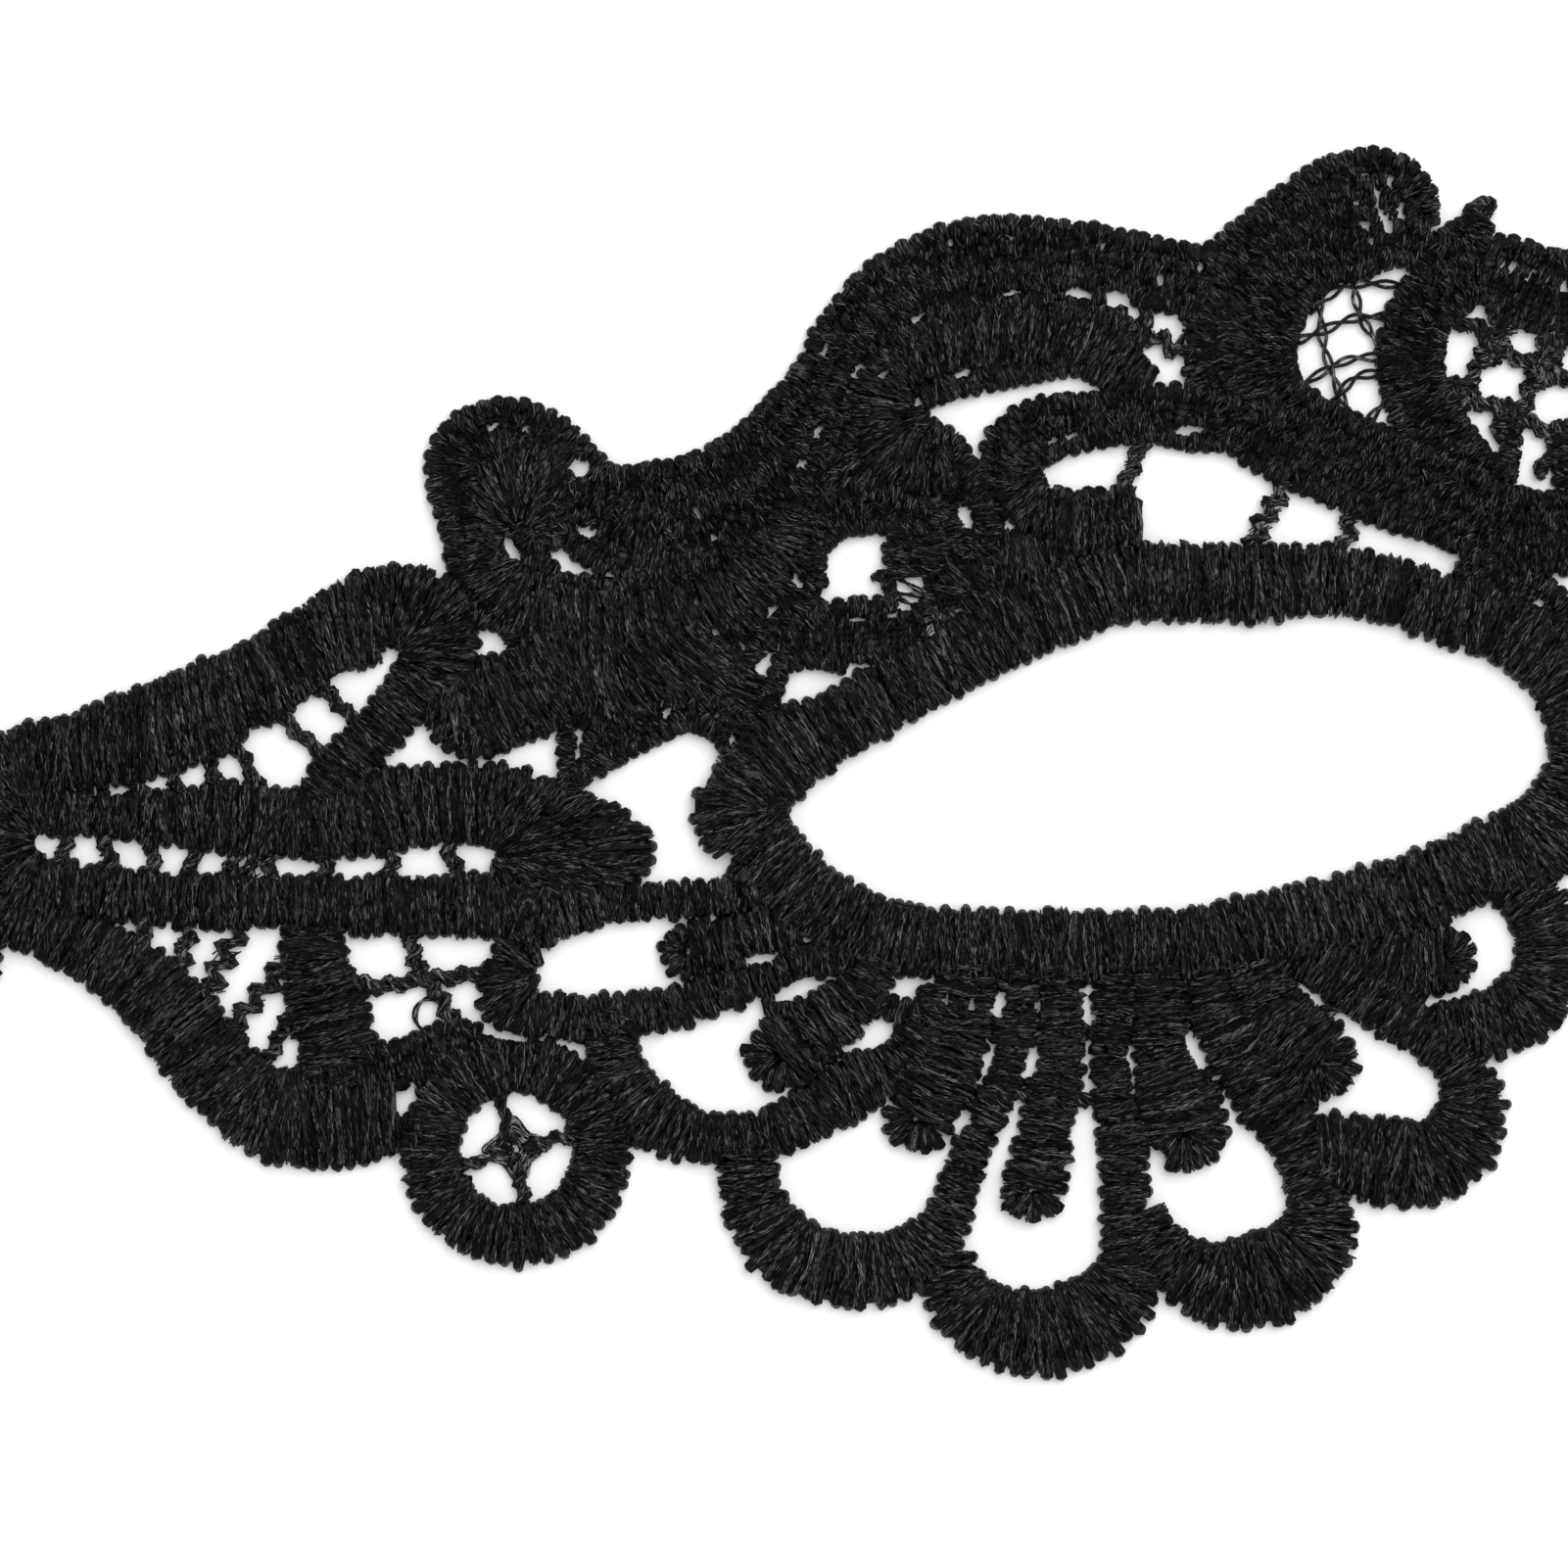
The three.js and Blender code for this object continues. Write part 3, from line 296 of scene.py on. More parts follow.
for row, first, last, rise, width in [[0, -3, 4.46, -1, 1.3], [1, -6.4, 4.46, -1, 1.4], [0, 0, 4.46, 1, 1.4],
                                      [0, -4.2, 0, 1, 1.8], [1, -2.2, 4.46, 1, 1.3], [-1, -6, -1.6, 1, 1.5]]:
    cord([inLattice(t, row, rise) for t in (first, (first + last) / 2, last)], width)
cord([[101.4, 83.4], [100.4, 84.2], [99.4, 84.9]], 1.7)
cord([[105, 81.5], [105.1, 83], [105.3, 84.8]], 1.5)
rib("hearts", [[103.1, 78.2, 1.3], [102.9, 76.4, 1.1], [102.3, 74.4, 1.6]])
rib("hearts", [[106.5, 77, 1.7], [106.5, 75.4, 1.6], [106.5, 73.4, 1.7]])
for row, column in [[0, 0], [-0.5, -1], [1, 0], [0.5, -1], [0, -2], [0.5, 1.5], [1.5, 1.5]]:
    x, y = inLattice(column * lattice["column"], row, 0)
    for angle in (20, 110):  # each knot is two short cords, one across the other
        overX = lattice["knot"] / 2 * math.cos(math.radians(angle))
        overY = lattice["knot"] / 2 * math.sin(math.radians(angle))
        cord([[x - overX, y - overY], [x + overX, y + overY]], lattice["knotWidth"])

# Openings that thread keeps out of, from pinholes to small cells: x, y, half length, half width, turn.
openings = [[28, 31.9, 0.62, 0.32, 55], [39.5, 74.7, 0.6, 0.52, 0], [38.35, 68.6, 0.8, 0.38, -32],
    [34.8, 69.3, 0.85, 0.38, -60], [41.55, 67.5, 0.35, 0.24, 0], [39.95, 70.4, 0.5, 0.24, -25],
    [40.2, 72.9, 0.32, 0.2, 60], [33.7, 77.7, 0.3, 0.14, 50], [35.8, 77.5, 0.3, 0.14, 40],
    [51.9, 61.3, 0.65, 0.4, 40], [51.85, 41.4, 1.05, 0.38, 8], [54.8, 42.7, 0.5, 0.25, -15],
    [59.8, 36.2, 1.35, 0.65, 35], [61.7, 39.3, 0.8, 0.55, 30], [65.75, 71.45, 0.8, 0.36, -60],
    [65.5, 81.2, 0.65, 0.24, 28], [68.8, 86.6, 0.7, 0.12, 10], [73.5, 86.6, 0.8, 0.36, -10],
    [76.2, 86.2, 0.9, 0.5, -35], [78.9, 82.2, 1.5, 0.6, -41], [62, 66.15, 1.15, 0.6, 55],
    [58.5, 64.45, 0.7, 0.1, 0], [60.8, 64.8, 0.28, 0.14, 20], [58.5, 61.3, 0.8, 0.22, 5],
    [104.3, 65.5, 0.5, 0.12, 0], [62.5, 84.85, 0.48, 0.24, 30], [58.4, 81.6, 0.3, 0.12, 40],
    [60.15, 81.2, 0.4, 0.24, 20], [56.1, 82.75, 0.32, 0.17, 60], [55.7, 77.4, 0.45, 0.2, 60],
    [54.6, 75.1, 0.32, 0.15, 10], [52.45, 65.1, 0.38, 0.33, 0], [48.6, 63.6, 0.45, 0.25, 50],
    [45.35, 58.15, 0.5, 0.25, 50], [39.35, 56.05, 0.6, 0.18, 80], [48.75, 58, 0.4, 0.14, 70],
    [49.8, 56.25, 0.35, 0.18, 80], [81.6, 88.4, 0.5, 0.2, 70], [78.95, 87.5, 0.48, 0.26, 70],
    [98.4, 89.2, 0.25, 0.18, 20], [80.75, 77.3, 0.85, 0.28, 8], [71.7, 76.6, 0.3, 0.15, 30],
    [72.9, 76.9, 0.3, 0.15, 30], [66.2, 38.5, 0.6, 0.2, 75], [68.2, 38.4, 0.9, 0.24, 78],
    [64.45, 38.7, 0.6, 0.12, 80], [70.7, 38.1, 0.6, 0.12, 80], [73.9, 38.2, 0.7, 0.2, 85],
    [75.2, 35.5, 0.5, 0.12, 80], [68.9, 90.5, 0.25, 0.12, 70], [64.8, 90.2, 0.28, 0.12, 70],
    [75.1, 90, 0.3, 0.13, 60], [54.1, 67.25, 0.7, 0.24, -65], [47.3, 71.9, 0.35, 0.12, -45],
    [48.7, 70, 0.24, 0.16, 0], [23.4, 60.5, 0.9, 0.45, 20], [26.85, 62.2, 0.4, 0.2, 20],
    [13.2, 54, 0.8, 0.45, 15], [20.7, 58.4, 0.7, 0.5, 40], [17.7, 56.3, 1.1, 0.8, 40],
    [19.7, 35.1, 1.05, 0.55, 55], [34.5, 36.15, 1.7, 0.3, -10], [38.95, 35.4, 1.1, 0.24, -20],
    [39.7, 41.1, 2.9, 2, 15], [47.6, 34.6, 3.8, 2.5, -35], [54.15, 39.35, 1.5, 0.5, 30],
    [65.6, 30.5, 0.9, 0.4, 60], [67.2, 34.2, 1.3, 0.22, 68], [70.2, 34.4, 1.35, 0.38, 80],
    [76.9, 34.2, 0.9, 0.15, -75], [81.3, 34.9, 1.4, 0.3, -60], [89.2, 39, 0.9, 0.18, -50],
    [99.4, 43.6, 0.9, 0.4, -25], [98.2, 38.7, 1.2, 0.15, 5], [55, 59.85, 1.6, 0.62, 12],
    [47.7, 54.2, 1.4, 0.8, 65], [48.9, 47.7, 1.3, 0.6, 40], [78.8, 28, 0.8, 0.4, -50],
    [103.4, 83.6, 0.95, 0.7, -15], [100.7, 85.5, 0.55, 0.4, -30], [90.45, 94, 0.42, 0.1, -65],
    [91.95, 94.1, 0.6, 0.09, -68], [92.2, 93, 0.2, 0.08, -60], [92.7, 93.8, 0.5, 0.08, 88],
    [92.8, 94.7, 0.2, 0.08, 60], [93.3, 94.3, 0.45, 0.1, -55], [93.5, 93.5, 0.25, 0.06, -65],
    [94, 93.7, 0.3, 0.06, 88], [94.6, 94, 0.45, 0.18, -50], [94.6, 94.6, 0.32, 0.08, -15],
    [95.5, 92.8, 0.4, 0.12, -40], [95.4, 92.1, 0.4, 0.15, -60], [94.3, 91.5, 0.65, 0.2, -60],
    [93.8, 92.4, 0.3, 0.08, -50], [92.85, 91.2, 0.5, 0.12, -55], [93.3, 90.2, 0.35, 0.07, 80],
    [102.3, 88.6, 0.35, 0.08, 60], [102.9, 88.5, 0.5, 0.09, 60], [104.1, 88, 0.6, 0.1, 68],
    [105.2, 87.4, 0.5, 0.08, 65], [106.4, 87.2, 0.5, 0.09, 60]]
print("strokes drawn:", len(strokes), "openings:", len(openings))

# From the drawing to lines that stitches follow.
fanShape = {"pitch": 0.8, "degrees": 2, "fewest": 8, "oneRing": 5, "innerRing": (0, 0.58),
            "outerRing": (0.42, 1)}
capShape = {"pitch": 0.82, "stations": 24, "start": 0.1, "inner": 0.34}
rowOverlap = 0.12


def smoothed(rows, closed):
    rows = np.array(rows, float)
    count = len(rows)
    result = []
    for i in range(count if closed else count - 1):
        near = [(i + k) % count if closed else min(max(i + k, 0), count - 1) for k in (-1, 0, 1, 2)]
        a, b, c, d = rows[near]
        parts = max(2, int(np.hypot(*(c - b)[:2]) / drawing["step"]))
        t = (np.arange(parts) / parts)[:, None]
        curve = 2 * b + (c - a) * t + (2 * a - 5 * b + 4 * c - d) * t ** 2 + (3 * b - a - 3 * c + d) * t ** 3
        result.append(0.5 * curve)
    if not closed:
        result.append(rows[-1:])
    return np.vstack(result)


def smoothedRays(rays):
    rows = np.array(rays, float)
    sweep = np.abs(np.diff(rows[:, 0])).sum()
    fine = np.linspace(0, len(rows) - 1, max(fanShape["fewest"], int(sweep / fanShape["degrees"])))
    i = np.minimum(fine.astype(int), len(rows) - 2)
    t = fine - i
    result = []
    for k in range(3):
        slopes = np.gradient(rows[:, k])
        a, b, m, n = rows[i, k], rows[i + 1, k], slopes[i], slopes[i + 1]
        ends = a * (1 + 2 * t) * (1 - t) ** 2 + b * t * t * (3 - 2 * t)
        result.append(ends + m * t * (1 - t) ** 2 - n * t * t * (1 - t))
    return np.stack(result, 1)


def placed(points, side):
    x, y = points[:, 0] - drawing["noseX"], points[:, 1] - drawing["noseY"]
    across = math.cos(tilt) * x + math.sin(tilt) * y
    up = -math.sin(tilt) * x + math.cos(tilt) * y - drawing["middleY"]
    return np.stack([side * across, up], 1)


def unit(vectors):
    return vectors / np.maximum(np.linalg.norm(vectors, axis=-1, keepdims=True), 1e-9)


def gone(points):  # the way along a line of points
    return np.concatenate([[0], np.cumsum(np.linalg.norm(np.diff(points, axis=0), axis=1))])


def spokes(turns):
    return np.stack([np.cos(turns), np.sin(turns)], 1)


def withMeasure(line):  # distance along, between the middle and the longer edge
    reach = [np.linalg.norm(np.diff(line[name], axis=0), axis=1) for name in ("left", "middle", "right")]
    line["at"] = np.concatenate([[0], np.cumsum((np.maximum(reach[0], reach[2]) + reach[1]) / 2)])
    return line


def edgesToLine(left, right, **more):
    return withMeasure({"left": left, "right": right, "middle": (left + right) / 2,
                        "width": np.linalg.norm(left - right, axis=1), "closed": False, **more})


def bandLine(stations, side, closed=False):
    rows = smoothed(stations, closed)
    rows = np.vstack([rows, rows[:1]]) if closed else rows
    middle = placed(rows, side)
    if closed:
        ahead = np.gradient(np.vstack([middle[-2], middle, middle[1]]), axis=0)[1:-1]
    else:
        ahead = np.gradient(middle, axis=0)
    ahead = unit(ahead)
    leftward = side * np.stack([-ahead[:, 1], ahead[:, 0]], 1)
    half = rows[:, 2:3] / 2
    return withMeasure({"middle": middle, "left": middle + leftward * half, "right": middle - leftward * half,
                        "closed": closed, "side": side, "leftward": leftward, "width": rows[:, 2]})


def fanLine(pivot, rays, side):
    rows = smoothedRays(rays)
    spoke = spokes(np.radians(rows[:, 0]))
    left = placed(np.array(pivot) + spoke * rows[:, 2:3], side)
    right = placed(np.array(pivot) + spoke * rows[:, 1:2], side)
    return edgesToLine(left, right, side=side, fan=True)


def fanRings(line):  # a long fan is worked in two rings that overlap
    if line["width"].mean() < fanShape["oneRing"]:
        return [line]
    rings = []
    for inner, outer in (fanShape["innerRing"], fanShape["outerRing"]):
        left = line["right"] + (line["left"] - line["right"]) * outer
        right = line["right"] + (line["left"] - line["right"]) * inner
        rings.append(edgesToLine(left, right, side=line["side"], fan=True))
    return rings


def capLine(line):  # the rosette of stitches round a band's free start
    centre, out = line["middle"][0], line["left"][0] - line["middle"][0]
    sweep = np.linspace(capShape["start"], math.pi - capShape["start"], capShape["stations"])
    spoke = spokes(math.atan2(out[1], out[0]) + line["side"] * sweep)
    cap = edgesToLine(centre + spoke * np.linalg.norm(out), centre + spoke * capShape["inner"],
                      side=line["side"], fan=True)
    cap["width"] = np.full(capShape["stations"], np.linalg.norm(out))
    return cap


def rowLine(line, j, rows):  # one narrow row of a ribbed band
    width = line["width"][:, None]
    high = np.minimum(width * ((j + 1 + rowOverlap) / rows - 0.5), width / 2)
    low = np.maximum(width * ((j - rowOverlap) / rows - 0.5), -width / 2)
    return edgesToLine(line["middle"] + line["leftward"] * high, line["middle"] + line["leftward"] * low,
                       side=line["side"])


def sample(line, name, at):
    total = line["at"][-1]
    at = np.mod(at, total) if line["closed"] else np.clip(at, 0, total)
    return np.stack([np.interp(at, line["at"], line[name][:, k]) for k in (0, 1)], -1)


# Each form of stitch is modelled once, on the x axis from -1 to 1, and then copied.
stitchShapes = {"wide": {"sides": 6, "sections": 5, "ends": 0.62, "flat": 0.62},
                "strand": {"sides": 3, "sections": 5, "ends": 0.75, "flat": 1},
                "bent": {"sides": 3, "sections": 3, "ends": 0.6, "flat": 1},
                "short": {"sides": 3, "sections": 2, "ends": 0.85, "flat": 1}}


def makeStitchForm(name, sides, sections, ends, flat):
    bpy.ops.object.select_all(action="DESELECT")
    bpy.ops.mesh.primitive_cylinder_add(vertices=sides, radius=1, depth=2, rotation=(0, math.pi / 2, 0))
    form = bpy.context.object
    form.name = name
    bpy.ops.object.transform_apply(location=False, rotation=True, scale=False)
    bpy.ops.object.mode_set(mode="EDIT")
    bpy.ops.mesh.select_all(action="SELECT")
    turn = -math.pi / 2 if sides == 3 else math.pi / sides  # three sides lie with an edge on top
    bpy.ops.transform.rotate(value=turn, orient_axis="X", center_override=(0, 0, 0))
    bpy.ops.transform.resize(value=(1, 1, flat))
    for k in range(1, sections - 1):
        bpy.ops.mesh.select_all(action="SELECT")
        bpy.ops.mesh.bisect(plane_co=(2 * k / (sections - 1) - 1, 0, 0), plane_no=(1, 0, 0))
    bpy.ops.mesh.select_all(action="DESELECT")
    bpy.ops.object.mode_set(mode="OBJECT")
    for vertex in form.data.vertices:
        vertex.select = abs(vertex.co.x) > 0.99  # both ends
    bpy.ops.object.mode_set(mode="EDIT")
    bpy.ops.transform.resize(value=(1, ends, ends))  # drawn in where the thread turns down
    bpy.ops.object.mode_set(mode="OBJECT")
    mesh = form.data
    co = np.array([vertex.co for vertex in mesh.vertices])
    loops = np.array([loop.vertex_index for loop in mesh.loops])
    sizes = np.array([face.loop_total for face in mesh.polygons])
    around = np.mod(np.arctan2(co[:, 2], co[:, 1]) / (2 * math.pi) + 1, 1)[loops]
    start = 0
    for size in sizes:  # keeps the wrap of the thread's own map whole
        part = around[start:start + size]
        if part.max() - part.min() > 0.5:
            part[part < 0.5] += 1
        start += size
    section = np.rint((co[:, 0] + 1) / 2 * (sections - 1)).astype(int)
    bpy.data.objects.remove(form)
    return {"co": co, "loops": loops, "sizes": sizes, "around": around, "section": section,
            "sections": sections}


forms = {name: makeStitchForm(name, **shape) for name, shape in stitchShapes.items()}
print("stitch forms ready:", ", ".join(forms))

# Copies of the forms, laid along their paths and kept out of the openings.
pieces = {}
paintedShade = {"low": 0.6, "high": 1.25, "least": 0.4}  # painted shade: thread that lies low gets fewer painted highlights, so it reads darker
mapStart = {"along": 90, "around": 20}  # each thread reads the filaments from a place of its own
cut = {"spare": 0.07, "near": 1.5, "least": 0.02, "whole": 0.999}  # mm past an edge, then shares of a stitch
holes = {"centre": np.vstack([placed(np.array([o[:2] for o in openings]), side) for side in (1, -1)]),
         "size": np.array([o[2:4] for o in openings] * 2) + cut["spare"],
         "turn": np.radians([o[4] - drawing["tilt"] for o in openings]
                            + [180 - o[4] + drawing["tilt"] for o in openings])}
# How a stitch rises from its foot within this turn, in mm, or within this share of its length.
bend = {"shortest": 0.4, "turn": 0.4, "most": 0.3, "shoulder": 0.4, "bow": 3, "shortHeight": 0.05}


def addPart(piece, co, loops, sizes, uv, tone):
    part = {"co": co.reshape(-1, 3), "loops": loops.ravel(), "sizes": np.asarray(sizes),
            "uv": uv.reshape(-1, 2), "tone": tone.ravel()}
    pieces.setdefault(piece, []).append(part)


def crossFrame(path):  # the two directions across a thread
    ahead = unit(np.gradient(path, axis=-2))
    level = np.stack([-ahead[..., 1], ahead[..., 0], np.zeros(ahead.shape[:-1])], -1)
    across = unit(level + 1e-9)
    return across, np.cross(ahead, across)


def addCopies(piece, form, path, radius, tones):  # path: stitches x sections x 3, in mm
    count, section, loops = len(path), form["section"], form["loops"]
    across, up = crossFrame(path)
    out = across[:, section] * form["co"][:, 1:2] + up[:, section] * form["co"][:, 2:3]
    co = path[:, section] + radius[:, None, None] * out
    steps = np.cumsum(np.linalg.norm(np.diff(path, axis=1), axis=2), 1)
    along = np.concatenate([np.zeros((count, 1)), steps], 1)[:, section[loops]]
    u = along + rng.uniform(0, mapStart["along"], (count, 1))
    v = form["around"] * 2 * math.pi * radius[:, None] + rng.uniform(0, mapStart["around"], (count, 1))
    # painted shade: the lower a thread lies, the less painted highlight it gets
    paintedLit = np.clip((path[:, section, 2] - paintedShade["low"]) / (paintedShade["high"] - paintedShade["low"]), 0, 1)
    tone = rng.uniform(*tones, count)[:, None] * (paintedShade["least"] + (1 - paintedShade["least"]) * paintedLit)
    loops = loops + len(form["co"]) * np.arange(count)[:, None]
    addPart(piece, co, loops, np.tile(form["sizes"], count), np.stack([u, v], -1), tone)


def inHole(points, more):
    apart = points[..., None, :] - holes["centre"]
    along = apart[..., 0] * np.cos(holes["turn"]) + apart[..., 1] * np.sin(holes["turn"])
    across = apart[..., 1] * np.cos(holes["turn"]) - apart[..., 0] * np.sin(holes["turn"])
    size = holes["size"] + more
    return ((along / size[:, 0]) ** 2 + (across / size[:, 1]) ** 2 < 1).any(-1)


def cutAtHoles(left, right):  # the parts of each stitch that lie outside every opening
    part, low, high = np.arange(len(left)), np.zeros(len(left)), np.ones(len(left))
    corners = np.minimum(left, right).min(0) - cut["near"], np.maximum(left, right).max(0) + cut["near"]
    near = ((holes["centre"] > corners[0]) & (holes["centre"] < corners[1])).all(1)
    for centre, size, angle in zip(holes["centre"][near], holes["size"][near], holes["turn"][near]):
        cos, sin = math.cos(angle), math.sin(angle)
        axes = np.array([[cos, sin], [-sin, cos]]) / size[:, None]
        start, way = (left[part] - centre) @ axes.T, (right[part] - left[part]) @ axes.T
        a, b = (way ** 2).sum(1) + 1e-12, (start * way).sum(1)
        inside = b * b - a * ((start ** 2).sum(1) - 1)
        root = np.sqrt(np.maximum(inside, 0))
        enter, leave = (-b - root) / a, (-b + root) / a
        hit = (inside > 0) & (enter < high) & (leave > low)
        beyond = hit & (leave < high)
        rest = part[beyond], np.maximum(leave, low)[beyond], high[beyond]
        high = np.where(hit, np.minimum(enter, high), high)
        part, low, high = [np.concatenate(pair) for pair in zip((part, low, high), rest)]
        keep = high - low > cut["least"]
        part, low, high = part[keep], low[keep], high[keep]
    return part, low[:, None], high[:, None]


def crown(reach, across):  # a wide band is fuller in its middle
    return levels["crown"] * np.minimum(reach / levels["crownWidth"], 1) * (1 - across ** 2)


def addStitches(piece, form, left, middle, right, top, radius, foot=0, sway=0, bob=0, tones=(0, 1)):
    if not len(left):
        return
    form = forms[form]
    part, low, high = cutAtHoles(left, right)
    left, way = left[part], (right - left)[part]
    left, right = left + way * low, left + way * high
    middle = np.where(high - low > cut["whole"], middle[part], (left + right) / 2)
    keep = np.linalg.norm(left - right, axis=1) > bend["shortest"]
    if not keep.any():
        return
    left, middle, right, top, radius = [v[keep] for v in (left, middle, right, top[part], radius[part])]
    reach = np.linalg.norm(left - right, axis=1)
    dip = np.minimum(bend["turn"], reach * bend["most"])
    if form["sections"] == 5:  # lies flat and turns down near both ends
        shoulder = dip * bend["shoulder"]
        along = [0 * reach, shoulder, reach * 0.5, reach - shoulder, reach]
    elif form["sections"] == 3:
        along, dip = [0 * reach, reach * 0.5, reach], reach * bend["most"]
    else:
        along = [0 * reach, reach]
    along = np.stack(along, 1)
    t = along / reach[:, None]
    bow = 1 - np.abs(2 * t - 1) ** bend["bow"]
    offset = middle - (left + right) / 2
    flat = left[:, None] + (right - left)[:, None] * t[..., None] + offset[:, None] * bow[..., None]
    near = np.minimum(np.minimum(along, reach[:, None] - along) / dip[:, None], 1)
    z = foot + (top - foot)[:, None] * np.sqrt(np.maximum(1 - (1 - near) ** 2, 0))
    if form["sections"] == 5:
        z = z + crown(reach[:, None], 2 * t - 1)
    if form["sections"] == 2:  # a short thread lies straight, each end at its own height
        z = top[:, None] + rng.normal(0, bend["shortHeight"], (len(reach), 2))
    flat[:, 1:-1] += rng.normal(0, sway, flat[:, 1:-1].shape)
    z[:, 1:-1] += rng.normal(0, bob, z[:, 1:-1].shape)
    addCopies(piece, form, np.concatenate([flat, z[..., None]], -1), radius, tones)


# Satin stitch: wide stitches, two strands on each, short threads on top and a lock thread at the back.
# The wide under-stitches get few painted highlights: painted shade in the grooves between the strands.
wideStitch = {"form": "wide", "radius": 0.46, "drop": 0.32, "foot": 0.2, "pitch": 0.92, "strands": 1,
              "overshoot": 0.05, "cross": 0.1, "tones": (0, 0.35), "back": True}
strand = {"form": "strand", "radius": 0.26, "drop": 0.08, "foot": 0.45, "strands": 2,
          "overshoot": -0.08, "cross": 0.28, "tones": (0.1, 1), "back": False}
# How far stitches stray from the drawing, in mm and in shares of their step or thickness.
handwork = {"uneven": 0.1, "wave": 2.4, "ragged": 0.12, "lift": 0.07, "height": 0.05, "end": 0.03,
            "thickness": (0.85, 1.15), "gather": 0.56, "sway": 0.06, "bob": 0.05, "loops": 1.2}
fanStart = {"steps": (0, 0.5, 0.25), "uneven": 0.12, "full": 3, "bow": 0.6}
backThread = {"level": 0.2, "radius": 0.16, "uneven": 0.1}
topThread = {"radius": 0.09, "length": 1.0, "density": 2.45, "spread": 7, "rise": 0.16, "bunch": 2,
             "clear": 0.24, "pitch": 0.46, "apart": 0.07}
fanTop = {**topThread, "density": 4.3}
capTop = {**topThread, "length": 0.9, "density": 3, "clear": 0.2}
shortThread = {"lengths": (0.6, 1.3), "thickness": (0.8, 1.2), "turn": 7, "longest": 0.92, "beside": 1.7,
               "slip": 0.14, "bow": 0.05, "height": 0.035}


def evenly(line, pitch):  # how many stitches a line takes, their step and their places
    total = line["at"][-1]
    count = max(1, int(round(total / pitch)))
    return count, total / count, (np.arange(count) + 0.5) * (total / count)


def layBand(piece, line, level, look, pitch, lean=0, loose=0):
    count, step, at = evenly(line, pitch)
    at = at + np.sin(np.arange(count) * handwork["wave"] + line["at"][-1]) * handwork["uneven"] * step
    reach = np.interp(at, line["at"], line["width"])
    lift = rng.normal(0, handwork["lift"], count)
    push = {name: rng.normal(look["overshoot"], handwork["ragged"], count) for name in ("left", "right")}
    if loose:  # the loops that stand off one side
        push["left" if loose > 0 else "right"] += abs(loose) * rng.uniform(0, handwork["loops"], count) ** 1.5
    slide = math.tan(math.radians(lean)) * reach / 2
    for k in range(look["strands"]):
        part = (k - (look["strands"] - 1) / 2) / look["strands"] * step
        skew = rng.normal(0, look["cross"], (3, count))
        left = sample(line, "left", at + part * handwork["gather"] + slide + skew[0] * 0.5)
        right = sample(line, "right", at + part * handwork["gather"] - slide + skew[1] * 0.5)
        middle = sample(line, "middle", at + part + skew[2])
        away = unit(left - right)
        left = left + away * (push["left"] + rng.normal(0, handwork["end"], count))[:, None]
        right = right - away * (push["right"] + rng.normal(0, handwork["end"], count))[:, None]
        if line.get("fan"):  # threads start by turns further out, as they round a tight turn
            start = np.array(fanStart["steps"])[(np.arange(count) + k) % 3]
            start = start + rng.uniform(0, fanStart["uneven"], count)
            start = start * np.clip(reach / fanStart["full"], 0, 1)
            right = right + (left - right) * start[:, None]
            middle = (left + right) / 2 + rng.normal(0, look["cross"] * fanStart["bow"], (count, 2))
        top = level + lift + rng.normal(0, handwork["height"], count)
        radius = look["radius"] * rng.uniform(*handwork["thickness"], count)
        addStitches(piece, look["form"], left, middle, right, top, radius, look["foot"],
                    handwork["sway"], handwork["bob"], look["tones"])
    if look["back"]:
        at = at + rng.normal(0, backThread["uneven"], count)
        left, middle, right = [sample(line, name, at) for name in ("left", "middle", "right")]
        top, radius = np.full(count, backThread["level"]), np.full(count, backThread["radius"])
        addStitches(piece, "short", left, middle, right, top, radius)


def laySatin(piece, line, level, pitch, lean=0, loose=0):
    layBand(piece, line, level - wideStitch["drop"], wideStitch, pitch, lean, loose)
    layBand(piece, line, level - strand["drop"], strand, pitch, lean)


